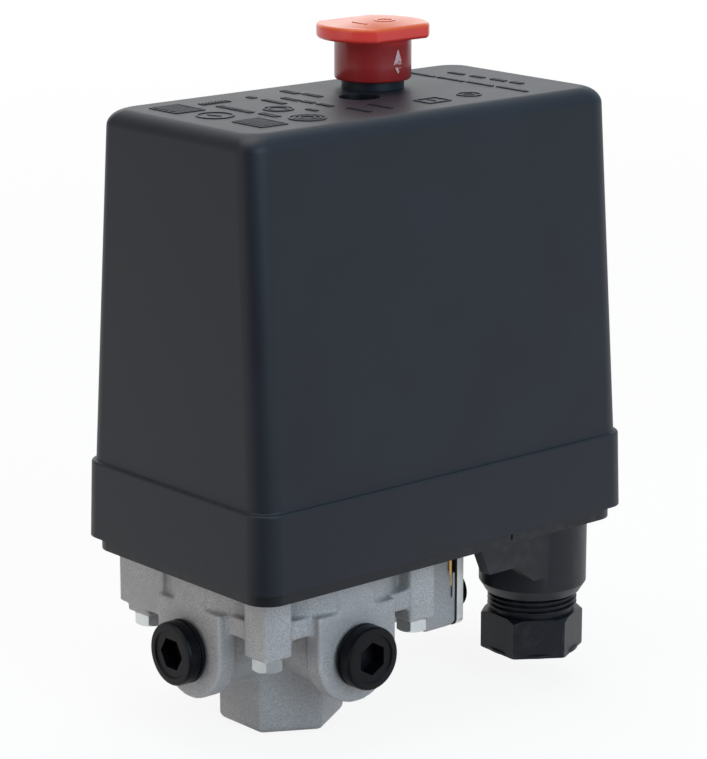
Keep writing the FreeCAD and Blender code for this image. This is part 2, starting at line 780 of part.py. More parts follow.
def build_manifold():
    corner = port_flats * HEX_CORNER / 2
    lathe = fuse(
        rod(corner, port_height - port_chamfer),
        cone(corner, core_radius, port_chamfer, z=port_height - port_chamfer),
    )
    hexagon_foot = common(hexagon(port_flats, port_height), lathe)
    softened = rounded(hexagon_foot, lug_round, level_at(Size.of(0)))
    core = rod(core_radius, disc_bottom - port_height + port_chamfer, z=port_height - port_chamfer)
    ribs = box(both(rib_half), both(rib_half), (rib_bottom, disc_bottom))
    disc = rod(disc_radius, deck - disc_bottom, z=disc_bottom)
    lugs = []
    for x, y in corners():
        lug = box(about(x, lug_width / 2), about(y, lug_width / 2), (lug_bottom, deck))
        lugs.append(rounded(lug, lug_edge, upright))
    pad_side = (corner_pad_start, corner_pad_reach)
    pads = [
        box((-corner_pad_reach, corner_pad_margin - bolt_place), pad_side, (corner_pad_bottom, deck)),
        box((bolt_place - corner_pad_margin, corner_pad_reach), pad_side, (corner_pad_bottom, deck)),
    ]
    bosses = side_boss("-y") + side_boss("+y") + side_boss("-x")
    neck = box((Size.of(0), valve_block_start), both(valve_neck_half), (valve_block_bottom + 4, deck))
    block = box((valve_block_start, valve_block_end), both(valve_block_half), (valve_block_bottom, deck))
    rounded_block = rounded(block, lug_round, level_at(valve_block_bottom))
    solid = fuse(softened, core, ribs, disc, neck, rounded_block, *lugs, *pads, *bosses, *boss_fairings())

    tools = [
        rod(port_bore, port_depth, 0, 0, 0),
        rod(gallery_radius, deck, 0, 0, 0),
        rod(chamber_radius, chamber_depth + diaphragm_thickness, z=deck - diaphragm_thickness - chamber_depth),
        rod(diaphragm_radius + run_gap, diaphragm_thickness, z=deck - diaphragm_thickness),
        rod(gallery_radius - 1, valve_block_end, 0, 0, side_axis, "+x"),
        rod(pin_radius + run_gap, deck - pin_bottom + pin_well, pin_x, pin_y, pin_bottom - pin_well),
        box((valve_block_end - wall - 0.5, valve_block_end), both(valve_block_half), (valve_shelf, deck)),
        box((valve_notch_start, valve_block_end), (-valve_block_half, -valve_block_half + valve_notch_width),
            (valve_notch_bottom, deck)),
    ]
    for x, y in corners():
        tools.append(rod(bolt_radius + drill_gap, deck - lug_bottom, x, y, lug_bottom))
    for axis in ("-y", "+y", "-x"):
        tools += side_bores(axis)
    for y, z in valve_screw_places():
        depth = valve_screw_length - valve_plate - valve_gasket
        tools.append(rod(valve_screw_radius + run_gap, depth, valve_block_end, y, z, "-x"))
    node("manifold", cut(solid, *tools))


def valve_screw_places():
    return [(valve_screw_place * sign, z) for sign in (-1, 1) for z in (valve_screw_low, valve_screw_high)]


def build_bolts():
    bolts = []
    shank_length = deck + lip_height + steel + bolt_reach - lug_bottom
    for x, y in corners():
        head = hexagon(bolt_flats, bolt_head, x, y, lug_bottom - bolt_head, turned=14)
        crown = cone(bolt_flats / 2, bolt_flats / 2 + bolt_head, bolt_head, x, y, lug_bottom - bolt_head)
        shank = rod(bolt_radius - run_gap, shank_length, x, y, lug_bottom)
        bolts.append(fuse(common(head, crown), shank))
    node("manifold_bolts", group(*bolts))


def build_plug(label, axis):
    """A socket-head plug; its profile runs outwards from the boss face."""
    seal = plug_seal_thickness
    head_end = seal + plug_head
    body = turned(label, [
        (0, -plug_thread),
        (side_bore - run_gap - 1, -plug_thread),
        (side_bore - run_gap, -plug_thread + 1),
        (side_bore - run_gap, seal),
        (plug_radius - 0.4, seal),
        (plug_radius, seal + 0.4),
        (plug_radius, head_end - 0.6),
        (plug_radius - 0.6, head_end),
        (plug_ring_radius + 0.4, head_end),
        (plug_ring_radius, head_end - plug_ring_depth),
        (0, head_end - plug_ring_depth),
    ])
    document.recompute()
    socket = sketch_on(body, "XY_Plane", head_end - plug_ring_depth)
    half = plug_socket_flats / 2
    corner = half * HEX_CORNER
    outline(socket, [
        (corner, 0),
        (corner / 2, half),
        (-corner / 2, half),
        (-corner, 0),
        (-corner / 2, -half),
        (corner / 2, -half),
    ])
    feature(body, "Pocket", socket, Length=plug_socket_depth)
    body.Placement.Rotation = TURN[axis]
    along_x = {"-x": -1}.get(axis, 0)
    along_y = {"-y": -1, "+y": 1}.get(axis, 0)
    place(body, boss_face * along_x, boss_face * along_y, side_axis)


def build_plug_seals():
    rings = []
    for axis, along_x, along_y in (("-y", 0, -1), ("+y", 0, 1), ("-x", -1, 0)):
        spot = (boss_face * along_x, boss_face * along_y, side_axis, axis)
        outer = rod(plug_seal_radius, plug_seal_thickness, *spot)
        inner = rod(side_bore, plug_seal_thickness, *spot)
        rings.append(cut(outer, inner))
    node("plug_seals", group(*rings))


# ---- unloader valve -----------------------------------------------------------------------
def valve_sheet(label, start, thickness):
    """A flat sheet on the end of the valve block with its four screw holes and the air way."""
    sheet_box = box((start, start + thickness), both(valve_block_half), (valve_block_bottom, valve_shelf))
    lower = valve_block_bottom

    def low_corner(edge):
        ends = [vertex.Point for vertex in edge.Vertexes]
        level = all(abs(end.z - lower.value) < 0.01 for end in ends)
        return level and abs(ends[0].x - ends[1].x) > 0.9 * thickness.value

    plate = rounded(sheet_box, lug_round, low_corner)
    tools = [rod(valve_screw_radius + drill_gap, thickness, start, y, z, "+x") for y, z in valve_screw_places()]
    tools.append(rod(fitting_tube + 1, thickness, start, fitting_y, fitting_z, "+x"))
    node(label, cut(plate, *tools))


def build_valve():
    valve_sheet("unloader_gasket", valve_block_end, valve_gasket)
    plate_start = valve_block_end + valve_gasket
    valve_sheet("unloader_cover", plate_start, valve_plate)
    face = plate_start + valve_plate

    screws = []
    for y, z in valve_screw_places():
        head = rod(valve_screw_radius * 1.8, valve_screw_head, face, y, z, "+x")
        shank = rod(valve_screw_radius, valve_screw_length - run_gap, face, y, z, "-x")
        slot = box((face + valve_screw_head - 0.8, face + valve_screw_head + 1), about(y, slot_width / 3),
                   about(z, valve_screw_radius * 2))
        screws.append(cut(fuse(head, shank), slot))
    node("unloader_screws", group(*screws))

    spigot = fitting_tube + 1 - run_gap
    body = hexagon(fitting_flats, fitting_length / 3, face, fitting_y, fitting_z, "+x")
    nut = rod(fitting_radius, fitting_length * 2 / 3, face + fitting_length / 3, fitting_y, fitting_z, "+x")
    tail = rod(spigot, valve_plate + valve_gasket, face, fitting_y, fitting_z, "-x")
    bore = rod(fitting_tube, fitting_length * 0.75, face + fitting_length * 0.25, fitting_y, fitting_z, "+x")
    way = rod(fitting_tube / 2, fitting_length + valve_plate, face - valve_plate - valve_gasket,
              fitting_y, fitting_z, "+x")
    node("unloader_fitting", cut(fuse(body, nut, tail), bore, way))

    turned("unloader_pin", [
        (0, 0),
        (pin_radius - 0.5, 0),
        (pin_radius, 0.5),
        (pin_radius, pin_top - pin_bottom - 0.5),
        (pin_radius - 0.5, pin_top - pin_bottom),
        (0, pin_top - pin_bottom),
    ], pin_x, pin_y, pin_bottom)


# ---- base with the cable leg --------------------------------------------------------------
def build_base():
    ledge_top = floor_top + lip_ledge
    lip = box(about(housing_x, lip_half_x), both(lip_half_y), (deck + pad_height, ledge_top))
    pad_half = bolt_place + lug_width / 2 + pad_margin
    seat = box((-pad_half, valve_block_end), both(pad_half), (deck, floor_top))
    rim_x = skirt_high_x - wall - free_gap
    rim_y = skirt_high_y - wall - free_gap - free_gap
    rim_box = box(about(housing_x, rim_x), both(rim_y), (floor_top - 1, floor_top + rim_height))
    lip_rounded = rounded(lip, lip_corner, upright)
    rim_rounded = rounded(rim_box, lip_corner - wall, upright)
    hollow = box(about(housing_x, rim_x - wall), both(rim_y - wall), (floor_top, floor_top + rim_height))

    leg = rod(leg_radius, floor_top - leg_end - leg_taper, leg_x, leg_y, leg_end + leg_taper)
    taper = cone(leg_end_radius, leg_radius, leg_taper, leg_x, leg_y, leg_end)
    web_body = document.addObject("PartDesign::Body", "web")
    sketch = sketch_on(web_body, "XZ_Plane")
    outline(sketch, [
        (web_left, floor_top - 1),
        (web_foot, web_low),
        (web_step, web_low),
        (web_right, web_lowest),
        (leg_x - 2, web_lowest),
        (leg_x - 2, floor_top - 1),
    ])
    pad = web_body.newObject("PartDesign::Pad", "pad")
    pad.Profile = sketch
    pad.setExpression("Length", web_thickness.text)
    pad.Reversed = True
    place(web_body, 0, -lip_half_y + web_inset, 0)

    bore = gland_thread + run_gap
    seal_top = seal_ceiling()
    tools = [
        hollow,
        rod(bore, seal_top - leg_end, leg_x, leg_y, leg_end),
        rod(cable_hole, floor_top - leg_end, leg_x, leg_y, leg_end),
        rod(plunger_radius + free_gap + 0.1, lip_height, z=deck),
        rod(pin_radius + free_gap, lip_height, pin_x, pin_y, deck),
        box(about(slit_x, slit_width / 2), (-lip_half_y, -lip_half_y + slit_depth), (deck + 2, ledge_top)),
    ]
    for x, y in corners():
        tools.append(rod(bolt_radius + drill_gap, lip_height, x, y, deck))
    node("base", cut(fuse(lip_rounded, seat, rim_rounded, leg, taper, web_body), *tools))


def seal_ceiling():
    """Height of the shelf above the cable seal."""
    return gland_bottom + gland_head + gland_shank + 0.1 + washer_thickness + 0.1 + seal_length


def build_gland():
    head_top = gland_bottom + gland_head
    corner = gland_flats * HEX_CORNER / 2
    blank = hexagon(gland_flats, gland_head, leg_x, leg_y, gland_bottom, turned=gland_turned.value)
    chamfer = corner - gland_thread
    lathe = fuse(
        rod(corner, gland_head - chamfer, leg_x, leg_y, gland_bottom),
        cone(corner, gland_thread, chamfer, leg_x, leg_y, head_top - chamfer),
    )
    rim = rod(gland_flats / 2 + gland_rim, gland_rim * 2, leg_x, leg_y, gland_bottom)
    turns = int(gland_shank.value / gland_pitch.value)
    root = gland_thread - gland_thread_depth
    shank = [rod(root, gland_shank, leg_x, leg_y, head_top)]
    crest = gland_pitch * 0.46
    for turn in range(turns):
        height = head_top + gland_pitch * turn
        shank.append(cone(root, gland_thread, crest, leg_x, leg_y, height + 0.1))
        shank.append(cone(gland_thread, root, crest, leg_x, leg_y, height + 0.1 + crest))
    solid = fuse(common(blank, lathe), rim, *shank)
    hole = rod(gland_hole, gland_head + gland_shank + 2, leg_x, leg_y, gland_bottom - 1)
    node("gland_screw", cut(solid, hole))

    washer_bottom = head_top + gland_shank + 0.1
    turned("gland_washer", [
        (gland_hole, 0),
        (gland_thread - 0.4, 0),
        (gland_thread - 0.4, washer_thickness),
        (gland_hole, washer_thickness),
    ], leg_x, leg_y, washer_bottom)
    seal_outer = gland_thread - 0.1
    turned("gland_seal", [
        (gland_hole - 0.4, 0),
        (seal_outer - 0.8, 0),
        (seal_outer, 0.8),
        (seal_outer, seal_length - 0.8),
        (seal_outer - 0.8, seal_length),
        (gland_hole - 0.4, seal_length),
    ], leg_x, leg_y, washer_bottom + washer_thickness + 0.1)


# ---- cover --------------------------------------------------------------------------------
def cover_section(body, half_x, half_y, height, corner):
    sketch = sketch_on(body, "XY_Plane", height)
    rounded_rectangle(sketch, housing_x, half_x, half_y, corner)
    return sketch


def build_cover():
    body = new_body("cover")
    loft(body, "AdditiveLoft", cover_section(body, skirt_low_x, skirt_low_y, skirt_bottom, cover_corner),
         cover_section(body, skirt_high_x, skirt_high_y, skirt_top, cover_corner))
    shell = loft(body, "AdditiveLoft", cover_section(body, shell_low_x, shell_low_y, skirt_top, cover_corner),
                 cover_section(body, shell_high_x, shell_high_y, cover_top, cover_corner))
    round_edges(body, shell, cover_edge, level_at(cover_top))

    ceiling = cover_top - wall
    inner_corner = cover_corner - wall
    loft(body, "SubtractiveLoft",
         cover_section(body, skirt_low_x - wall, skirt_low_y - wall, skirt_bottom, inner_corner),
         cover_section(body, skirt_high_x - wall, skirt_high_y - wall, skirt_top - 1, inner_corner))
    loft(body, "SubtractiveLoft",
         cover_section(body, shell_low_x - wall, shell_low_y - wall, skirt_top - 1, inner_corner),
         cover_section(body, shell_high_x - wall, shell_high_y - wall, ceiling, inner_corner))

    recess = sketch_on(body, "XY_Plane", recess_floor - wall)
    circle(recess, housing_x, 0, recess_radius + wall)
    tube = feature(body, "Pad", recess, Length=ceiling + 0.5 - recess_floor + wall)
    collar = sketch_on(body, "XY_Plane", ceiling - wall)
    circle(collar, knob_x, knob_y, collar_radius)
    feature(body, "Pad", collar, Length=collar_top - ceiling + wall)

    well = sketch_on(body, "XY_Plane", cover_top)
    circle(well, housing_x, 0, recess_radius)
    feature(body, "Pocket", well, Length=cover_top - recess_floor)
    screw_hole = sketch_on(body, "XY_Plane", recess_floor)
    circle(screw_hole, housing_x, 0, cover_screw_radius + drill_gap)
    feature(body, "Pocket", screw_hole, Length=wall)
    knob_bore = sketch_on(body, "XY_Plane", collar_top)
    circle(knob_bore, knob_x, knob_y, stem_radius + run_gap)
    feature(body, "Pocket", knob_bore, Length=collar_top - ceiling + wall)


def build_cover_screw():
    body = turned("cover_screw", [
        (0, -cover_screw_length),
        (cover_screw_radius - run_gap - 0.6, -cover_screw_length),
        (cover_screw_radius - run_gap, -cover_screw_length + 0.6),
        (cover_screw_radius - run_gap, 0),
        (cover_screw_head, 0),
        (cover_screw_head, cover_screw_cap - 1),
        (cover_screw_head - 1, cover_screw_cap),
        (0, cover_screw_cap),
    ], housing_x, 0, recess_floor)
    document.recompute()
    slot = sketch_on(body, "XY_Plane", cover_screw_cap)
    rectangle(slot, both(slot_width / 2), both(cover_screw_head + 1))
    feature(body, "Pocket", slot, Length=slot_depth)
    node_post()


def node_post():
    """The steel post that the cover's screw goes into."""
    foot = floor_top + steel
    top = recess_floor - wall - free_gap
    bar = hexagon(post_flats, top - foot, housing_x, 0, foot)
    hole = rod(cover_screw_radius, cover_screw_length, housing_x, 0, top - cover_screw_length)
    node("cover_post", cut(bar, hole))


# ---- knob ---------------------------------------------------------------------------------
def build_knob():
    cup = rod(cup_radius, flange_bottom - cup_bottom, knob_x, knob_y, cup_bottom)
    cup_soft = rounded(cup, cup_round, level_at(cup_bottom))
    disc = rod(flange_radius, flange_top - flange_bottom, knob_x, knob_y, flange_bottom)
    flats = box(about(knob_x, flange_radius + 1), about(knob_y, flange_flat), (flange_bottom, flange_top))
    flange = rounded(common(disc, flats), flange_round, lambda edge: True)
    hollow = rod(collar_radius + free_gap + 0.1, cup_ceiling - cup_bottom, knob_x, knob_y, cup_bottom)
    stem = rod(stem_radius, cup_ceiling + 1 - stem_bottom, knob_x, knob_y, stem_bottom)
    groove_bottom = knob_clip_bottom
    groove = cut(rod(stem_radius + 1, clip_thickness + 0.1, knob_x, knob_y, groove_bottom - 0.05),
                 rod(stem_radius - 1, clip_thickness + 0.1, knob_x, knob_y, groove_bottom - 0.05))
    node("knob", cut(fuse(cut(fuse(cup_soft, flange), hollow), stem), groove))

    ring = rod(clip_radius, clip_thickness, knob_x, knob_y, groove_bottom)
    hole = rod(stem_radius - 0.95, clip_thickness, knob_x, knob_y, groove_bottom)
    mouth = box((knob_x, knob_x + clip_radius + 1), about(knob_y, stem_radius * 0.6),
                (groove_bottom, groove_bottom + clip_thickness))
    node("knob_clip", cut(ring, hole, mouth))


# ---- diaphragm, plunger and lever ---------------------------------------------------------
def build_plunger():
    node("diaphragm", rod(diaphragm_radius, diaphragm_thickness, z=deck - diaphragm_thickness))
    bottom = deck + 0.1
    stem_top = lever_height - 0.1 - bottom
    turned("plunger", [
        (0, 0),
        (plunger_radius, 0),
        (plunger_radius, plunger_plate),
        (plunger_stem, plunger_plate),
        (plunger_stem, stem_top - 2.5),
        (plunger_nose, stem_top),
        (0, stem_top),
    ], z=bottom)


def build_frame():
    floor = floor_top
    top = floor + steel
    plate = box((frame_left, frame_right), both(frame_half), (floor, top))
    cheeks = []
    for start in (-cheek_half, cheek_half - steel):
        body = document.addObject("PartDesign::Body", "cheek")
        sketch = sketch_on(body, "XZ_Plane")
        outline(sketch, [
            (frame_left + cheek_inset, floor),
            (cheek_right, floor),
            (cheek_right, cheek_step),
            (rocker_x + rocker_ear, rocker_arm_bottom),
            (rocker_x + rocker_ear, rocker_arm_top),
            (upright_half, rocker_arm_top),
            (upright_half, bridge_bottom),
            (-upright_half, bridge_bottom),
            (-upright_half, cheek_left_top + cheek_slope),
            (frame_left + cheek_inset, cheek_left_top),
        ])
        pad = body.newObject("PartDesign::Pad", "pad")
        pad.Profile = sketch
        pad.setExpression("Length", steel.text)
        pad.Reversed = True
        place(body, 0, start, 0)
        cheeks.append(body)
    tools = [
        rod(plunger_stem + free_gap, steel, z=floor),
        rod(pivot_radius, cheek_half * 2, pivot_x, -cheek_half, pivot_height, "+y"),
        rod(rocker_pin, cheek_half * 2, rocker_x, -cheek_half, rocker_height, "+y"),
        rod(terminal_screw_radius, steel, *earth_place(), floor),
    ]
    for x, y in corners():
        tools.append(rod(bolt_radius, steel, x, y, floor))
    node("frame", cut(fuse(plate, *cheeks), *tools))

    bar = box(both(upright_half + 1), both(cheek_half), (bridge_bottom, bridge_bottom + bridge_thickness))
    node("top_bridge", cut(bar, rod(range_stub_radius + run_gap, bridge_thickness, z=bridge_bottom)))

    pin_length = cheek_half * 2 + 1.6
    for label, radius, x, z in (("lever_pin", pivot_radius, pivot_x, pivot_height),
                                ("rocker_pin", rocker_pin, rocker_x, rocker_height)):
        shank = rod(radius, pin_length, x, -cheek_half - 0.8, z, "+y")
        rivet = rod(radius + 1, 0.8, x, -cheek_half - 0.8, z, "+y")
        tail = rod(radius + 1, 0.8, x, cheek_half, z, "+y")
        node(label, fuse(shank, rivet, tail))


def lever_side(start, right):
    """One flange of the lever, from behind the pivot to the finger."""
    low = lever_height - lever_drop
    high = lever_height + lever_flange
    arm = box((pivot_x - lever_tail, right), (start, start + steel), (low, high))
    return arm


def build_lever():
    web = box((lever_web_left, lever_web_right), both(lever_half), (lever_height, lever_height + steel))
    front = lever_side(-lever_half, finger_right)
    back = lever_side(lever_half - steel, lever_web_right)
    finger = box((finger_left, finger_right), (-lever_half, -lever_half + steel), (lever_height, finger_top))
    hole = rod(pivot_radius + run_gap, lever_half * 2, pivot_x, -lever_half, pivot_height, "+y")
    node("main_lever", cut(fuse(web, front, back, finger), hole))


def build_range_spring():
    turned("spring_seat", [
        (0, 0),
        (spring_seat_radius, 0),
        (spring_seat_radius, spring_seat_thickness),
        (spring_pilot_radius, spring_seat_thickness),
        (spring_pilot_radius, spring_seat_thickness + spring_pilot_height - 1),
        (spring_pilot_radius - 1, spring_seat_thickness + spring_pilot_height),
        (0, spring_seat_thickness + spring_pilot_height),
    ], z=seat_bottom)
    node("range_spring", coil(spring_mean, spring_wire, spring_pitch, spring_height, 0, 0, coil_start))

    plate = box(both(range_plate_half), both(cheek_half - steel - free_gap),
                (range_plate_bottom, range_plate_bottom + range_plate_thickness))
    thread = rod(range_screw_radius + run_gap, range_plate_thickness, z=range_plate_bottom)
    node("range_plate", cut(plate, thread))

    shoulder_bottom = bridge_bottom - 0.1 - range_shoulder
    clip_bottom = bridge_bottom + bridge_thickness + 0.2
    body = turned("range_screw", [
        (0, range_screw_bottom),
        (range_screw_radius - 0.8, range_screw_bottom),
        (range_screw_radius, range_screw_bottom + 0.8),
        (range_screw_radius, shoulder_bottom),
        (range_shoulder_radius, shoulder_bottom),
        (range_shoulder_radius, shoulder_bottom + range_shoulder),
        (range_stub_radius, shoulder_bottom + range_shoulder),
        (range_stub_radius, clip_bottom),
        (range_stub_radius - 0.7, clip_bottom),
        (range_stub_radius - 0.7, clip_bottom + 1),
        (range_stub_radius, clip_bottom + 1),
        (range_stub_radius, range_stub_top),
        (0, range_stub_top),
    ])
    document.recompute()
    slot = sketch_on(body, "XY_Plane", range_stub_top)
    rectangle(slot, both(slot_width / 2), both(range_stub_radius + 1))
    feature(body, "Pocket", slot, Length=slot_depth)

    ring = rod(range_stub_radius + 2.6, 0.9, z=clip_bottom + 0.05)
    hole = rod(range_stub_radius - 0.65, 0.9, z=clip_bottom + 0.05)
    mouth = box((Size.of(0), range_stub_radius + 4), both(range_stub_radius * 0.6),
                (clip_bottom + 0.05, clip_bottom + 0.95))
    node("range_clip", cut(ring, hole, mouth))


def coil(radius, wire, pitch, height, x, y, z):
    """A coil spring of round wire."""
    helix = document.addObject("Part::Helix", "helix")
    bind(helix, Pitch=pitch, Height=height, Radius=radius)
    section = document.addObject("Part::Circle", "wire")
    bind(section, Radius=wire)
    section.Placement.Rotation = FreeCAD.Rotation(V(1, 0, 0), 90)
    place(section, radius, 0, 0)
    sweep = document.addObject("Part::Sweep", "coil")
    sweep.Sections = [section]
    sweep.Spine = (helix, [])
    sweep.Solid = True
    sweep.Frenet = True
    return place(sweep, x, y, z)


# ---- rocker, contacts and terminals -------------------------------------------------------
def build_rocker():
    side = (-lever_half, -lever_half + steel)
    bar = box((rocker_left, rocker_right), side, (rocker_bottom, rocker_top))
    nose = box((rocker_right - rocker_nose, rocker_right), side, (carrier_top + free_gap, rocker_top))
    bush = rod(rocker_pin + 1.6, steel + 6, rocker_x, -lever_half - 2, rocker_height, "+y")
    hole = rod(rocker_pin + run_gap, lever_half, rocker_x, -lever_half - 2, rocker_height, "+y")
    node("trip_rocker", cut(fuse(bar, nose, bush), hole))


def poles():
    return [pole_start + pole_pitch * index for index in range(3)]


def build_contact_block():
    floor = floor_top
    ring = box((block_left, block_right), both(block_half), (block_bottom, block_top))
    cavity = box((block_left + block_wall, block_right - block_wall), both(block_cavity_half),
                 (block_bottom, block_top))
    legs = []
    for x in ((block_left, block_left + block_leg), (block_right - block_leg, block_right)):
        for y in ((-block_half, -block_half + block_leg), (block_half - block_leg, block_half)):
            legs.append(box(x, y, (floor, block_bottom + 1)))
    barriers = []
    for index in range(4):
        centre = pole_start + pole_pitch * (index - 0.5)
        for y in ((-block_half, -block_cavity_half - 1), (block_cavity_half + 1, block_half)):
            barriers.append(box(about(centre, barrier_thickness / 2), y, (block_top - 1, block_top + barrier_height)))
    side = knob_y + guide_side
    post = box((block_left, block_left + guide_post), (side, side + guide_post_width), (block_top - 1, guide_top))
    arm = box((knob_x, block_left + 1), (side, side + guide_arm_width), (guide_bottom, guide_top))
    guide = rod(guide_radius, guide_top - guide_bottom, knob_x, knob_y, guide_bottom)
    tools = [cavity, rod(rod_radius + run_gap, guide_top - guide_bottom, knob_x, knob_y, guide_bottom)]
    for x in poles():
        for sign in (-1, 1):
            place_y = terminal_screw_place * sign
            depth = terminal_screw_length - terminal_thickness
            tools.append(rod(terminal_screw_radius, depth, x, place_y, block_top - depth))
    node("contact_block", cut(fuse(ring, post, arm, guide, *legs, *barriers), *tools))


def build_terminals():
    for label, sign in (("front_terminals", -1), ("back_terminals", 1)):
        plates = []
        for x in poles():
            near, far = terminal_inner * sign, terminal_outer * sign
            span = (far, near) if sign < 0 else (near, far)
            plate = box(about(x, terminal_width / 2), span, (block_top, block_top + terminal_thickness))
            tip = rod(tip_radius, tip_height, x, tip_place * sign, block_top - tip_height)
            hole = rod(terminal_screw_radius + drill_gap / 3, terminal_thickness, x, terminal_screw_place * sign,
                       block_top)
            plates.append(cut(fuse(plate, tip), hole))
        node(label, group(*plates))

    screws = []
    seat = block_top + terminal_thickness
    for x in poles():
        for sign in (-1, 1):
            y = terminal_screw_place * sign
            shank = rod(terminal_screw_radius - run_gap, terminal_screw_length, x, y, seat - terminal_screw_length)
            head = rod(terminal_screw_head, terminal_screw_cap, x, y, seat)
            slot = box(about(x, slot_width / 2), about(y, terminal_screw_head + 1),
                       (seat + terminal_screw_cap - slot_depth / 2, seat + terminal_screw_cap + 1))
            screws.append(cut(fuse(head, shank), slot))
    node("terminal_screws", group(*screws))


def strip_top():
    """Upper face of the moving contact strips."""
    return block_top - tip_height * 2 - contact_gap


def build_carrier():
    top = strip_top()
    bottom = top - bridge_strip
    window_floor = bottom - window_depth
    bar = box((carrier_left, carrier_right), both(carrier_half), (carrier_bottom, carrier_top))
    shelf = box((carrier_arm_left, block_left - free_gap), (pin_y - foot_half, knob_y + rod_radius + 0.5),
                (carrier_arm_bottom, carrier_top))
    neck = box((block_left - 1, carrier_left + 1), both(carrier_half), (carrier_arm_bottom, carrier_top))
    foot = box((pin_x - foot_half, block_left - free_gap), about(pin_y, foot_half), (pin_top + free_gap, carrier_top))
    windows = []
    bridges = []
    springs = []
    for x in poles():
        windows.append(box(about(x, bridge_strip_width / 2 + window_gap), both(carrier_half),
                           (window_floor, top + window_gap)))
        strip = box(about(x, bridge_strip_width / 2), both(bridge_strip_half), (bottom, top))
        tips = [rod(tip_radius, tip_height, x, tip_place * sign, top) for sign in (-1, 1)]
        bridges.append(fuse(strip, *tips))
        wire = contact_spring_wire
        rise = window_depth - wire * 2
        springs.append(coil(contact_spring_radius, wire, rise / 3, rise, x, 0, window_floor + wire))
    node("contact_carrier", cut(fuse(bar, shelf, neck, foot), *windows))
    node("contact_bridges", group(*bridges))
    node("contact_springs", group(*springs))

    turned("off_rod", [
        (0, carrier_top),
        (rod_radius, carrier_top),
        (rod_radius, stem_bottom - free_gap - 1),
        (rod_radius - 1, stem_bottom - free_gap),
        (0, stem_bottom - free_gap),
    ], knob_x, knob_y)


def earth_place():
    return frame_right - 5, -cheek_half / 2 + 2


def build_earth_screw():
    floor = floor_top + steel
    x, y = earth_place()
    seat = floor + earth_washer
    head = rod(terminal_screw_head, terminal_screw_cap, x, y, seat)
    shank = rod(terminal_screw_radius - run_gap, earth_washer + steel - 0.1, x, y, floor - steel + 0.1)
    slot = box(about(x, slot_width / 2), about(y, terminal_screw_head + 1),
               (seat + terminal_screw_cap - slot_depth / 2, seat + terminal_screw_cap + 1))
    node("earth_screw", cut(fuse(head, shank), slot))
    ring = rod(terminal_screw_head + 1.2, earth_washer, x, y, floor)
    node("earth_washer", cut(ring, rod(terminal_screw_radius + 0.1, earth_washer, x, y, floor)))


build_manifold()
build_bolts()
build_plug("plug_front", "-y")
build_plug("plug_left", "-x")
build_plug("plug_back", "+y")
build_plug_seals()
build_valve()
build_base()
build_gland()
build_cover()
build_cover_screw()
build_knob()
build_plunger()
build_frame()
build_lever()
build_range_spring()
build_rocker()
build_contact_block()
build_terminals()
build_carrier()
build_earth_screw()

# ---- checks and export --------------------------------------------------------------------
document.recompute()
for item in document.Objects:
    if "Invalid" in item.State or "Error" in item.State:
        raise RuntimeError(f"{item.Name} ({item.Label}) failed: {item.State}")

os.makedirs("parts", exist_ok=True)
for item in nodes:
    shape = item.Shape
    if shape.isNull() or not shape.isValid():
        raise RuntimeError(f"{item.Label} has no valid shape")
for item in nodes:
    item.Shape.exportStep(os.path.join("parts", item.Label + ".step"))
    print(item.Label, len(item.Shape.Solids), round(item.Shape.Volume, 1))
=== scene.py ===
"""Looks of the air compressor pressure switch: cover, knob, cast manifold, plugs, cable gland and mechanism."""

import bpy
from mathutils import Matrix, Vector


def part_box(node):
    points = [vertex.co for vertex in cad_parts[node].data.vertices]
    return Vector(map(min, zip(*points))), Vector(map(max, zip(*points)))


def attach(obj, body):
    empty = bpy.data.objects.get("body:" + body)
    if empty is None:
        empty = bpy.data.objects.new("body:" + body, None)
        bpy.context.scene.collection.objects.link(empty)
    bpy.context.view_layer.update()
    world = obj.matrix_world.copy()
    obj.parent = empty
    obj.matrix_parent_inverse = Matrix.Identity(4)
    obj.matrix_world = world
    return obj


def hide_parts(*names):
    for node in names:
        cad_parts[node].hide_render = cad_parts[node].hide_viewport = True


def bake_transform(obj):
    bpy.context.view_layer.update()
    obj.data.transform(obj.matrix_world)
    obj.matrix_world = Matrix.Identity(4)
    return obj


bl_info = {
    "name": "Pressure Switch Looks",
    "version": (1, 0, 0),
    "blender": (4, 5, 0),
    "location": "3D View > Sidebar > Pressure Switch",
    "description": "Dresses the solids of an air compressor pressure switch and sets up its studio",
    "category": "Object",
}

import math

import bmesh
import bpy
from bpy.props import FloatProperty, FloatVectorProperty, IntProperty, PointerProperty
from mathutils import Vector

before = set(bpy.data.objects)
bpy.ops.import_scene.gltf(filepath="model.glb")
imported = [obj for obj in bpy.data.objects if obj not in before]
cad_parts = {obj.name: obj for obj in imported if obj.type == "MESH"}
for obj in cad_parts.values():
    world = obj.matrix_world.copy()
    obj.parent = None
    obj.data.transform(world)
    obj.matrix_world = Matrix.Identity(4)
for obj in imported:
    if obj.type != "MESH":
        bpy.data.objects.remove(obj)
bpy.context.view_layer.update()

MM = 0.001
HOUSING_X = 28.4 * MM  # middle of the cover, and of its screw
COVER_FOOT, SKIRT_TOP, COVER_TOP = 51.2 * MM, 72.6 * MM, 169.4 * MM
WELL_RADIUS = 5.6 * MM
KNOB_X, KNOB_Y = 43.1 * MM, 11.3 * MM
CUP_FOOT, FLANGE_FOOT, KNOB_TOP = 171.7 * MM, 183.1 * MM, 187.1 * MM
CUP_RADIUS = 10.6 * MM
LEG_X, LEG_Y = 75.0 * MM, -21.5 * MM  # middle of the cable gland
GLAND_FOOT, GLAND_HEAD_TOP, GLAND_TOP = 9 * MM, 20.3 * MM, 32.3 * MM
GLAND_BORE = 7 * MM
PORT_HEIGHT, PORT_FACE = 26.3 * MM, 32.3 * MM  # height of the side ports, and how far out their faces stand
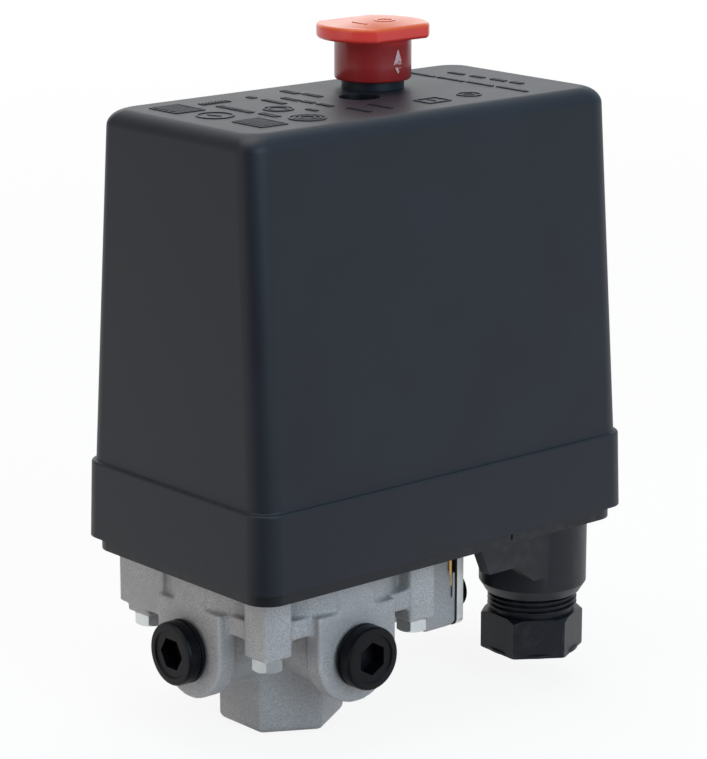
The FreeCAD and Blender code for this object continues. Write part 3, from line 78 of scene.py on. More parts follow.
BOLT_REACH = 25.4 * MM
KEY_CORNER = 8 / math.sqrt(3) * MM  # corner radius of the bolts' heads and the plugs' sockets, for an 8 mm key
SPRING_WIRE = 3 * MM
MARK_ROOT = 0.05 * MM  # how deep a raised mark reaches into the plastic
SIGN_ROOT = 0.04 * MM
MERGE, SOLID_MERGE = 0.002 * MM, 0.004 * MM
PHOTO_SIDE = (-0.655, -0.756, 0.0)  # the way from the switch to the photographer
DARK_SIDE = (0.42, 0.88)  # how squarely a direction faces the photographer where the dark starts, and where it is full


# ---- sizes and colours a user would change --------------------------------------------------
def size_of(name, words, value):
    return FloatProperty(name=name, description=words, default=value, unit="LENGTH")


def number_of(name, words, value, least, most):
    return IntProperty(name=name, description=words, default=value, min=least, max=most)


def colour(name, words, value):
    return FloatVectorProperty(name=name, description=words, subtype="COLOR", size=3, min=0, max=1, default=value)


class SwitchCoverSizes(bpy.types.PropertyGroup):
    wall: size_of("Wall", "Thickness of the cover's plastic", 2.2 * MM)
    corner: size_of("Corner", "Radius of the upright corners", 7 * MM)
    edge: size_of("Top edge", "Radius of the edge round the top", 4.5 * MM)
    corner_steps: number_of("Corner steps", "Faces in a round corner", 10, 3, 24)
    mark_height: size_of("Mark height", "How far the raised marks stand up", 0.25 * MM)


class SwitchKnobSizes(bpy.types.PropertyGroup):
    flange: size_of("Flange radius", "Radius of the knob's flange", 15.5 * MM)
    flat: size_of("Flat", "Distance from the middle to each flat side", 12.5 * MM)
    cup: size_of("Cup radius", "Radius of the knob's cup", CUP_RADIUS)
    facets: number_of("Facets", "Faces round the knob", 96, 24, 192)


class SwitchGlandSizes(bpy.types.PropertyGroup):
    pitch: size_of("Pitch", "Rise of the thread in one turn", 1.5 * MM)
    thread: size_of("Thread radius", "Outside radius of the thread", 12.7 * MM)
    flats: size_of("Across flats", "Width of the gland's hexagon", 25.4 * MM)


class SwitchCastingSizes(bpy.types.PropertyGroup):
    voxel: size_of("Softness", "Size of the cast skin's faces", 0.57 * MM)
    smoothing: number_of("Smoothing", "How often the cast edges are smoothed", 3, 0, 20)


class SwitchColours(bpy.types.PropertyGroup):
    cover: colour("Cover", "Charcoal plastic of the cover", (0.0066, 0.0084, 0.0132))
    base: colour("Base", "Black plastic of the base", (0.0052, 0.006, 0.0088))
    knob: colour("Knob", "Red plastic of the knob", (0.68, 0.045, 0.036))
    casting: colour("Casting", "Cast alloy of the manifold", (0.385, 0.373, 0.366))
    zinc: colour("Zinc", "Plated steel", (0.64, 0.67, 0.67))
    brass: colour("Brass", "Contacts and terminals", (0.58, 0.38, 0.15))
    plug: colour("Plug", "Satin black of the plugs", (0.0022, 0.0022, 0.0036))
    carrier: colour("Carrier", "Ivory plastic of the contact carrier", (0.62, 0.58, 0.47))
    block: colour("Block", "Dark thermoset of the contact block", (0.045, 0.032, 0.026))


# ---- materials --------------------------------------------------------------------------------
class Value:
    """A number in a material or in the surroundings; sums on it add Math nodes."""

    def __init__(self, nodes, socket):
        self.nodes = nodes
        self.socket = socket

    def sum(self, operation, *terms):
        node = self.nodes.node("ShaderNodeMath", {"operation": operation}, dict(enumerate(terms)))
        return Value(self.nodes, node.outputs[0])

    def __add__(self, other):
        return self.sum("ADD", self, other)

    __radd__ = __add__

    def __sub__(self, other):
        return self.sum("SUBTRACT", self, other)

    def __rsub__(self, other):
        return self.sum("SUBTRACT", other, self)

    def __mul__(self, other):
        return self.sum("MULTIPLY", self, other)

    __rmul__ = __mul__

    def __truediv__(self, other):
        return self.sum("DIVIDE", self, other)

    def __rtruediv__(self, other):
        return self.sum("DIVIDE", other, self)

    def __pow__(self, other):
        return self.sum("POWER", self, other)

    def step(self, low, high):
        """0 below low, 1 above high, and smooth between."""
        node = self.nodes.node("ShaderNodeMapRange", {"interpolation_type": "SMOOTHSTEP"},
                               {"Value": self, "From Min": low, "From Max": high})
        return Value(self.nodes, node.outputs["Result"])


class Nodes:
    """The nodes of one material, or of the surroundings."""

    def __init__(self, owner):
        owner.use_nodes = True
        self.tree = owner.node_tree
        self.tree.nodes.clear()

    def node(self, kind, settings=None, inputs=None):
        node = self.tree.nodes.new(kind)
        for name, value in (settings or {}).items():
            setattr(node, name, value)
        for name, value in (inputs or {}).items():
            self.feed(node.inputs[name], value)
        return node

    def feed(self, socket, value):
        if isinstance(value, Value):
            self.tree.links.new(value.socket, socket)
        elif isinstance(value, bpy.types.NodeSocket):
            self.tree.links.new(value, socket)
        elif hasattr(value, "__len__") and len(value) == 3 and socket.type == "RGBA":
            socket.default_value = (*value, 1.0)
        else:
            socket.default_value = value

    def ray(self, kind):
        """1 for rays of a kind: Camera, Glossy or Transmission."""
        return Value(self, self.node("ShaderNodeLightPath").outputs[f"Is {kind} Ray"])

    def light(self, kind, tint, strength):
        return self.node(kind, {}, {"Color": tint, "Strength": strength}).outputs[0]

    def mix_shaders(self, factor, first, second):
        return self.node("ShaderNodeMixShader", {}, {0: factor, 1: first, 2: second}).outputs[0]


class Finish(Nodes):
    """One procedural material on a Principled shader."""

    def __init__(self, name, **sockets):
        self.material = bpy.data.materials.new(name)
        super().__init__(self.material)
        self.shader = self.node("ShaderNodeBsdfPrincipled")
        self.output = self.node("ShaderNodeOutputMaterial", {}, {"Surface": self.shader.outputs[0]})
        self.place = self.node("ShaderNodeTexCoord").outputs["Object"]
        self.set(**sockets)

    def set(self, **sockets):
        for name, value in sockets.items():
            self.feed(self.shader.inputs[name.replace("_", " ")], value)

    def noise(self, scale, detail=3.0, rough=0.55, stretch=None):
        place = self.place
        if stretch:
            place = self.node("ShaderNodeMapping", {}, {"Vector": place, "Scale": stretch}).outputs[0]
        node = self.node("ShaderNodeTexNoise", {}, {"Vector": place, "Scale": scale, "Detail": detail,
                                                    "Roughness": rough})
        return Value(self, node.outputs[0])

    def cells(self, scale):
        node = self.node("ShaderNodeTexVoronoi", {}, {"Vector": self.place, "Scale": scale})
        return Value(self, node.outputs["Distance"])

    def along(self, axis):
        """How far a point is along X, Y or Z."""
        return Value(self, self.node("ShaderNodeSeparateXYZ", {}, {"Vector": self.place}).outputs[axis])

    def away(self, x, y):
        """How far a point is from an upright line."""
        across, deep = self.along("X") - x, self.along("Y") - y
        return (across * across + deep * deep) ** 0.5

    def near(self, x, y, reach):
        """1 within a distance of an upright line, and 0 beyond it."""
        return 1 - self.away(x, y).step(reach + 0.02 * MM, reach + 0.14 * MM)

    def between(self, low, high):
        """1 between two heights, and 0 outside them."""
        height, soft = self.along("Z"), 0.1 * MM
        return height.step(low, low + soft) * (1 - height.step(high, high + soft))

    def edges(self):
        """How far a surface stands out: about 0.5 on flats, and more on outer edges."""
        return Value(self, self.node("ShaderNodeNewGeometry").outputs["Pointiness"])

    def mix(self, factor, first, second):
        return self.node("ShaderNodeMix", {"data_type": "RGBA"}, {0: factor, 6: first, 7: second}).outputs[2]

    def bump(self, height, strength, distance):
        node = self.node("ShaderNodeBump", {}, {"Height": height, "Strength": strength, "Distance": distance})
        self.set(Normal=node.outputs[0])


def darker(value, amount):
    return tuple(part * amount for part in value)


def moulded_plastic(name, tint, rough, grain=1500, strength=0.25, gloss=0.2, scuffs=0.35, paint_well_shade=False):
    """Moulded plastic with a fine spark-eroded grain, faint mottling and scuffed edges; a screw's well may get painted
    shade, a near-black colour inside it.
    """
    finish = Finish(name, Specular_IOR_Level=gloss, IOR=1.5)
    mottle = finish.noise(38, 4.0)
    fine = finish.noise(grain, 2.0)
    wear_and_glint = finish.edges().step(0.53, 0.6) * scuffs
    dust = tuple(part * 0.8 + 0.035 for part in tint)
    body = finish.mix(mottle.step(0.3, 0.7), darker(tint, 0.88), darker(tint, 1.14))
    dust_and_well_shade = finish.mix(wear_and_glint * finish.noise(260, 3.0).step(0.4, 0.75), body, dust)
    # Painted shade: the inside of the screw's well is coloured near-black where shade falls.
    if paint_well_shade:
        inside = finish.near(HOUSING_X, 0, WELL_RADIUS) * finish.between(COVER_TOP - 30 * MM, COVER_TOP - 0.4 * MM)
        dust_and_well_shade = finish.mix(inside, dust_and_well_shade, (0.0004, 0.0004, 0.0005))
    finish.set(Base_Color=dust_and_well_shade, Roughness=mottle * 0.1 + fine * 0.08 + (rough - 0.09))
    finish.bump(fine, strength, 0.06 * MM)
    return finish.material


def cast_alloy(name, tint):
    """Die-cast aluminium: a grey sandy skin with dark and bright specks, and a painted highlight along its outer
    edges.
    """
    finish = Finish(name, Metallic=0.12, Specular_IOR_Level=0.35)
    sand = finish.noise(2300, 2.0, 0.7)
    flow = finish.noise(60, 4.0)
    speck = finish.cells(1500).step(0.12, 0.32)
    body = finish.mix(flow.step(0.3, 0.72), darker(tint, 0.86), darker(tint, 1.1))
    grainy = finish.mix(sand.step(0.36, 0.66), darker(tint, 0.72), body)
    pitted = finish.mix(speck, darker(tint, 0.6), grainy)
    # Painted highlight: the outer edges are coloured lighter.
    bright = finish.mix(finish.edges().step(0.52, 0.6) * 0.5, pitted, darker(tint, 1.45))
    finish.set(Base_Color=bright, Roughness=sand * 0.2 + 0.45)
    finish.bump(sand * 0.7 + flow * 0.4 + speck * 0.3, 0.32, 0.12 * MM)
    return finish.material


def plated_steel(name, tint, rough=0.3, stretch=(1, 1, 0.15)):
    """Bright plated steel with soft clouds and fine handling marks."""
    finish = Finish(name, Metallic=1.0)
    clouds = finish.noise(150, 3.0)
    marks = finish.noise(900, 4.0, 0.6, stretch)
    finish.set(Base_Color=finish.mix(clouds.step(0.3, 0.7), darker(tint, 0.85), tint),
               Roughness=marks * 0.2 + (rough - 0.08))
    finish.bump(marks, 0.12, 0.04 * MM)
    return finish.material


def red_plastic(name, tint):
    """Glossy red plastic, with painted shade deepening the cup, painted warm light on the flange's top, and a pale
    painted highlight in patches on the raised arrow.
    """
    finish = Finish(name, Specular_IOR_Level=0.3, Subsurface_Weight=0.25, Subsurface_Scale=0.004,
                    Coat_Weight=0.2, Coat_Roughness=0.12)
    finish.shader.inputs["Subsurface Radius"].default_value = (1.0, 0.25, 0.12)
    cloud = finish.noise(60, 3.0)
    height = finish.along("Z")
    red, green, blue = tint
    # Painted light and shade: the one red plastic is coloured darker on the cup under the flange, and lighter and
    # warmer on the flange's top.
    cup_painted_shade = (red * 0.38, green * 0.39, blue * 0.5)
    flange_top_painted_light = (red * 0.83, green * 2.0, blue * 0.33)
    flange = finish.mix(height.step(KNOB_TOP - 1.3 * MM, KNOB_TOP - 0.3 * MM), tint, flange_top_painted_light)
    body = finish.mix(height.step(FLANGE_FOOT - 2.1 * MM, FLANGE_FOOT + 1.1 * MM), cup_painted_shade, flange)
    clouded = finish.mix(cloud.step(0.2, 0.9) * 0.22, body, darker(tint, 0.55))
    # Painted highlight: the raised arrow is coloured pale pink in patches, standing in for glare on it.
    on_cup = finish.between(CUP_FOOT + 2.3 * MM, FLANGE_FOOT - 1.1 * MM)
    raised = (1 - finish.near(KNOB_X, KNOB_Y, CUP_RADIUS + 0.02 * MM)) * on_cup
    wear_and_glint = raised * finish.noise(900, 3.0).step(0.3, 0.5)
    finish.set(Base_Color=finish.mix(wear_and_glint, clouded, (0.62, 0.36, 0.36)), Roughness=cloud * 0.1 + 0.26)
    finish.bump(finish.noise(700, 2.0), 0.06, 0.04 * MM)
    return finish.material


def drawn_wire(name, tint):
    """Spring wire with fine drawing lines."""
    finish = Finish(name, Metallic=1.0)
    lines = finish.noise(500, 3.0, 0.6)
    finish.set(Base_Color=finish.mix(lines.step(0.3, 0.7), darker(tint, 0.6), tint), Roughness=lines * 0.2 + 0.22)
    finish.bump(lines, 0.1, 0.04 * MM)
    return finish.material


def rubber(name):
    """Matt black rubber with a little dust."""
    finish = Finish(name, Specular_IOR_Level=0.3)
    dust = finish.noise(400, 4.0)
    finish.set(Base_Color=finish.mix(dust.step(0.35, 0.75), (0.01, 0.01, 0.01), (0.028, 0.027, 0.026)),
               Roughness=dust * 0.2 + 0.6)
    finish.bump(dust, 0.2, 0.08 * MM)
    return finish.material


def build_finishes(colours):
    """One material for each material slot of the record."""
    cover, base, block = tuple(colours.cover), tuple(colours.base), tuple(colours.block)
    plug, carrier, zinc = tuple(colours.plug), tuple(colours.carrier), tuple(colours.zinc)
    return {
        "cover_plastic": moulded_plastic("charcoal cover plastic", cover, 0.47, gloss=0.3, paint_well_shade=True),
        "base_plastic": moulded_plastic("black base plastic", base, 0.42, gloss=0.3),
        "black_plastic": moulded_plastic("black gland plastic", base, 0.38, 900, 0.2),
        "plug_black": moulded_plastic("satin black plug", plug, 0.36, 1100, 0.3, 0.14, 0.5),
        "red_plastic": red_plastic("red knob plastic", tuple(colours.knob)),
        "cast_alloy": cast_alloy("cast alloy", tuple(colours.casting)),
        "zinc_steel": plated_steel("bright zinc", zinc, 0.32),
        "frame_steel": plated_steel("plated sheet steel", darker(zinc, 0.8), 0.36, (1, 0.1, 1)),
        "spring_steel": drawn_wire("drawn spring wire", (0.42, 0.42, 0.41)),
        "contact_brass": plated_steel("brass strip", tuple(colours.brass), 0.26),
        "seal_rubber": rubber("black rubber"),
        "switch_plastic": moulded_plastic("dark thermoset", block, 0.4, 700, 0.3, 0.45),
        "carrier_plastic": moulded_plastic("ivory plastic", carrier, 0.4, 800, 0.12, 0.45, 0.0),
    }


finishes = {}


# ---- modelling by hand in code ------------------------------------------------------------------
def mm(*numbers):
    """Turns millimetres into metres."""
    return tuple(number * MM for number in numbers)


def in_mm(rows):
    """Turns rows of millimetres into metres."""
    return [mm(*row) for row in rows]


def clear_selection():
    if bpy.context.object and bpy.context.object.mode != "OBJECT":
        object_mode()
    bpy.ops.object.select_all(action="DESELECT")


def activate(piece):
    clear_selection()
    piece.select_set(True)
    bpy.context.view_layer.objects.active = piece


def select_where(piece, kind="faces", test=lambda item: True):
    """Goes into edit mode with the faces, edges or points of a piece that pass a test selected."""
    activate(piece)
    bpy.ops.object.mode_set(mode="EDIT")
    modes = {"verts": (True, False, False), "edges": (False, True, False), "faces": (False, False, True)}
    bpy.context.tool_settings.mesh_select_mode = modes[kind]
    bpy.ops.mesh.select_all(action="DESELECT")
    mesh = bmesh.from_edit_mesh(piece.data)
    for item in getattr(mesh, kind):
        item.select_set(test(item))
    mesh.select_flush_mode()
    bmesh.update_edit_mesh(piece.data)


def object_mode():
    bpy.ops.object.mode_set(mode="OBJECT")


def settle(piece):
    """Puts a piece's place into its mesh."""
    activate(piece)
    bpy.ops.object.transform_apply(location=True, rotation=True, scale=True)


def face_out(piece):
    """Merges doubled points and turns the faces outwards."""
    select_where(piece, "verts")
    bpy.ops.mesh.remove_doubles(threshold=MERGE)
    bpy.ops.mesh.normals_make_consistent(inside=False)
    object_mode()


def modify(piece, kind, **settings):
    """Adds a modifier and applies it."""
    activate(piece)
    modifier = piece.modifiers.new(kind.lower(), kind)
    for name, value in settings.items():
        setattr(modifier, name, value)
    bpy.ops.object.modifier_apply(modifier=modifier.name)


def soften(piece, width, segments=2, angle=35):
    """Breaks the sharp edges and shades the rest smooth."""
    modify(piece, "BEVEL", width=width, segments=segments, limit_method="ANGLE", angle_limit=math.radians(angle),
           use_clamp_overlap=True, miter_outer="MITER_ARC")
    shade(piece)
    modify(piece, "WEIGHTED_NORMAL", keep_sharp=True, weight=70)


def shade(piece, angle=32):
    activate(piece)
    bpy.ops.object.shade_smooth_by_angle(angle=math.radians(angle))


def combine(piece, operation, *tools):
    """Cuts away, joins on or keeps what is inside each tool."""
    for tool in tools:
        modify(piece, "BOOLEAN", operation=operation, object=tool, solver="EXACT")
        bpy.data.objects.remove(tool)


def join_pieces(first, *others):
    """Several separate bodies become one piece."""
    activate(first)
    for other in others:
        other.select_set(True)
    bpy.ops.object.join()
    return first


def build_up(piece, centre, sections):
    """Extrudes a flat face upwards through (height, half width, half depth) sections."""
    select_where(piece)
    height, wide, deep = sections[0]
    for next_height, next_wide, next_deep in sections[1:]:
        bpy.ops.mesh.extrude_region_move(TRANSFORM_OT_translate={"value": (0, 0, next_height - height)})
        bpy.ops.transform.resize(value=(next_wide / wide, next_deep / deep, 1),
                                 center_override=(centre[0], centre[1], next_height))
        height, wide, deep = next_height, next_wide, next_deep
    object_mode()


def plate_with_corners(name, centre, height, half_wide, half_deep, corner, steps):
    """A flat plate with round corners."""
    clear_selection()
    bpy.ops.mesh.primitive_plane_add(size=2, location=(*centre, height))
    piece = bpy.context.object
    piece.name = name
    piece.scale = (half_wide, half_deep, 1)
    settle(piece)
    select_where(piece, "verts")
    bpy.ops.mesh.bevel(offset=corner, segments=steps, affect="VERTICES")
    object_mode()
    return piece


def disc(name, radius, centre, facets):
    """A flat round plate."""
    clear_selection()
    bpy.ops.mesh.primitive_circle_add(vertices=facets, radius=radius, fill_type="NGON", location=centre)
    piece = bpy.context.object
    piece.name = name
    settle(piece)
    return piece


def lathe(name, profile, centre=(0, 0), facets=96):
    """A turned piece, extruded up through (height, radius) steps."""
    first_height, first_radius = profile[0]
    piece = disc(name, first_radius, (*centre, first_height), facets)
    build_up(piece, centre, [(height, radius, radius) for height, radius in profile])
    face_out(piece)
    return piece


def bar(name, facets, radius, length, foot, turned=0.0):
    """An upright prism or round bar that stands on a point."""
    clear_selection()
    bpy.ops.mesh.primitive_cylinder_add(vertices=facets, radius=radius, depth=length, location=(0, 0, length / 2))
    piece = bpy.context.object
    piece.name = name
    settle(piece)
    piece.rotation_euler = (0, 0, math.radians(turned))
    piece.location = foot
    settle(piece)
    return piece


def block(name, low, high):
    clear_selection()
    bpy.ops.mesh.primitive_cube_add(size=1)
    piece = bpy.context.object
    piece.name = name
    piece.scale = [top - bottom for top, bottom in zip(high, low)]
    piece.location = [(top + bottom) / 2 for top, bottom in zip(high, low)]
    settle(piece)
    return piece


def copy_of(piece, name, move=(0, 0, 0)):
    other = piece.copy()
    other.data = piece.data.copy()
    other.name = name
    bpy.context.scene.collection.objects.link(other)
    other.location = move
    settle(other)
    return other


def softened_copy(node, width, segments=2):
    """A finished copy of a solid, with its edges broken as on the real piece."""
    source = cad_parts[node]
    piece = bpy.data.objects.new(node + "_finished", source.data.copy())
    bpy.context.scene.collection.objects.link(piece)
    piece.data.materials.clear()
    activate(piece)
    if piece.data.has_custom_normals:
        bpy.ops.mesh.customdata_custom_splitnormals_clear()
    select_where(piece, "verts")
    bpy.ops.mesh.remove_doubles(threshold=SOLID_MERGE)
    bpy.ops.mesh.dissolve_limited(angle_limit=math.radians(0.8))
    object_mode()
    if width:
        soften(piece, width, segments, angle=30)
    else:
        shade(piece)
    return piece


def coat(piece, slot):
    """Gives a piece the material of a slot."""
    piece.data.materials.clear()
    piece.data.materials.append(finishes[slot])


def finish_piece(piece, body, slot, *nodes):
    """Gives a piece its material, its body and the solids it stands for."""
    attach(piece, body)
    coat(piece, slot)
    if nodes:
        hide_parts(*nodes)


# (solid, body, material slot, width of the broken edges in millimetres, faces across them)
SOLIDS = {
    "knob": (("knob_clip", "knob_group", "zinc_steel", 0.12),),
    "base": (("base", "switch_frame", "base_plastic", 0.4, 3),),
    "gland": (
        ("gland_washer", "gland_packing", "zinc_steel", 0.1),
        ("gland_seal", "gland_packing", "seal_rubber", 0.3),
    ),
    "unloader": (
        ("unloader_gasket", "switch_frame", "seal_rubber", 0),
        ("unloader_cover", "switch_frame", "zinc_steel", 0.35, 3),
        ("unloader_screws", "switch_frame", "zinc_steel", 0.15),
        ("unloader_pin", "valve_pin", "contact_brass", 0.1),
        ("unloader_fitting", "switch_frame", "black_plastic", 0.3, 3),
    ),
    "mechanism": (
        ("frame", "switch_frame", "frame_steel", 0.25),
        ("top_bridge", "switch_frame", "frame_steel", 0.25),
        ("lever_pin", "switch_frame", "zinc_steel", 0.2),
        ("rocker_pin", "switch_frame", "zinc_steel", 0.2),
        ("cover_post", "switch_frame", "zinc_steel", 0.2),
        ("diaphragm", "switch_frame", "seal_rubber", 0.3),
        ("earth_screw", "switch_frame", "zinc_steel", 0.2),
        ("earth_washer", "switch_frame", "zinc_steel", 0.15),
        ("plunger", "plunger_group", "carrier_plastic", 0.2),
        ("main_lever", "lever", "frame_steel", 0.25),
        ("spring_seat", "lever", "frame_steel", 0.2),
        ("range_screw", "adjusting_screw", "zinc_steel", 0.15),
        ("range_clip", "adjusting_screw", "zinc_steel", 0.1),
        ("range_plate", "adjusting_plate", "frame_steel", 0.3),
        ("trip_rocker", "rocker", "frame_steel", 0.2),
        ("cover_screw", "cover_group", "zinc_steel", 0.2),
    ),
    "contacts": (
        ("contact_block", "switch_frame", "switch_plastic", 0.25),
        ("front_terminals", "switch_frame", "contact_brass", 0.15),
        ("back_terminals", "switch_frame", "contact_brass", 0.15),
        ("terminal_screws", "switch_frame", "zinc_steel", 0.2),
        ("contact_carrier", "carrier_group", "carrier_plastic", 0.2),
        ("contact_bridges", "carrier_group", "contact_brass", 0.12),
        ("contact_springs", "carrier_group", "spring_steel", 0),
        ("off_rod", "carrier_group", "carrier_plastic", 0.15),
    ),
}


def finish_solids(group):
    """Breaks the edges of each solid of a group, and finishes it."""
    for node, body, slot, width, *segments in SOLIDS[group]:
        finish_piece(softened_copy(node, width * MM, *segments), body, slot, node)


class SwitchOperator:
    bl_options = {"REGISTER", "UNDO"}


# ---- cover ----------------------------------------------------------------------------------------
def skirt_size(height):
    """Half width and half depth of the skirt round the cover's foot."""
    share = (height - COVER_FOOT) / (SKIRT_TOP - COVER_FOOT)
    return mm(66.9 - 0.5 * share, 39.4 - 0.5 * share)


def wall_size(height):
    """Half width and half depth of the cover's tall walls, which lean inwards."""
    share = (height - SKIRT_TOP) / (COVER_TOP - SKIRT_TOP)
    return mm(65.5 - 1.6 * share, 37.9 - 6.3 * share)


def ledge_size(share):
    """Half width and half depth on the way from the skirt in to the walls."""
    return tuple(outer + (inner - outer) * share for outer, inner in zip(skirt_size(SKIRT_TOP), wall_size(SKIRT_TOP)))


def quarter_turn(steps, first=0):
    """Even angles through a quarter turn."""
    return [math.radians(90 * turn / steps) for turn in range(first, steps + 1)]


def cover_sections(edge):
    """(height, half width, half depth) steps up the skirt, over its ledge, up the walls and round the top edge."""
    sections = [(height, *skirt_size(height)) for height in (COVER_FOOT, SKIRT_TOP - 1.1 * MM, SKIRT_TOP - 0.6 * MM)]
    rounded, drop, rise = 0.62, 0.6 * MM, 0.45 * MM  # the ledge's share that is rounded, and the heights of its curves
    for angle in quarter_turn(5, 1):
        sections.append((SKIRT_TOP - drop * (1 - math.sin(angle)), *ledge_size(rounded * (1 - math.cos(angle)))))
    for angle in quarter_turn(4, 1):
        share = rounded + (1 - rounded) * math.sin(angle)
        sections.append((SKIRT_TOP + rise * (1.02 - math.cos(angle)), *ledge_size(share)))
    edge_start = COVER_TOP - edge
    heights = [SKIRT_TOP + 1.2 * MM] + [SKIRT_TOP + share * (edge_start - SKIRT_TOP) for share in (0.33, 0.66, 0.9)]
    sections += [(height, *wall_size(height)) for height in heights]
    for angle in quarter_turn(8):
        height = edge_start + edge * math.sin(angle)
        wide, deep = wall_size(height)
        inset = edge * (1 - math.cos(angle))
        sections.append((height, wide - inset, deep - inset))
    return sections


class SWITCH_OT_cover(SwitchOperator, bpy.types.Operator):
    """Models the tall plastic cover with its skirt, the well of its screw and the knob's collar"""

    bl_idname = "switch_kit.cover"
    bl_label = "Cover"

    def execute(self, context):
        sizes = context.scene.switch_cover
        centre = (HOUSING_X, 0)
        piece = plate_with_corners("cover_shell", centre, COVER_FOOT, *skirt_size(COVER_FOOT), sizes.corner,
                                   sizes.corner_steps)
        build_up(piece, centre, cover_sections(sizes.edge))
        select_where(piece, "faces", lambda face: all(abs(vertex.co.z - COVER_FOOT) < MERGE for vertex in face.verts))
        bpy.ops.mesh.delete(type="FACE")
        face_out(piece)
        modify(piece, "SOLIDIFY", thickness=sizes.wall, offset=-1, use_even_offset=True)
        face_out(piece)
        combine(
            piece, "UNION",
            bar("well_tube", 64, WELL_RADIUS + sizes.wall, 19.9 * MM, (*centre, 147.8 * MM)),
            bar("collar", 72, 8.6 * MM, 11 * MM, (KNOB_X, KNOB_Y, 165 * MM)),
        )
        combine(
            piece, "DIFFERENCE",
            bar("well", 64, WELL_RADIUS, 30 * MM, (*centre, 150 * MM)),
            bar("screw_way", 32, 2.3 * MM, 30 * MM, (*centre, 130 * MM)),
            bar("knob_way", 64, 5.05 * MM, 30 * MM, (KNOB_X, KNOB_Y, 150 * MM)),
        )
        soften(piece, 0.3 * MM, 2, 50)
        finish_piece(piece, "cover_group", "cover_plastic", "cover")
        return {"FINISHED"}


def leave_border(piece, line, height):
    """Leaves only a raised border of a flat plate."""
    select_where(piece)
    bpy.ops.mesh.inset(thickness=line)
    bpy.ops.mesh.delete(type="FACE")
    object_mode()
    modify(piece, "SOLIDIFY", thickness=height + MARK_ROOT, offset=1)
    return piece


def raised_sign(name, word, centre, size, height, top, turn=0.0):
    """A short generic sign, such as I or O, raised from a surface."""
    clear_selection()
    bpy.ops.object.text_add()
    piece = bpy.context.object
    piece.name = name
    piece.data.body = word
    piece.data.size = size
    piece.data.align_x = "CENTER"
    piece.data.align_y = "CENTER"
    piece.data.extrude = height / 2
    piece.data.resolution_u = 4
    activate(piece)
    bpy.ops.object.convert(target="MESH")
    piece = bpy.context.object
    piece.rotation_euler = (0, 0, math.radians(turn))
    piece.location = (*centre, top + height / 2 - SIGN_ROOT)
    settle(piece)
    face_out(piece)
    return piece


def fine_ribs(name, start, way, count, pitch, rib, height):
    """A row of fine ribs on the cover, modelled once and repeated along the row."""
    (x, y), (wide, deep) = start, rib
    piece = block(name, (x - wide / 2, y - deep / 2, COVER_TOP - MARK_ROOT),
                  (x + wide / 2, y + deep / 2, COVER_TOP + height))
    modify(piece, "ARRAY", count=count, use_relative_offset=False, use_constant_offset=True,
           constant_offset_displace=(way[0] * pitch, way[1] * pitch, 0))
    return piece


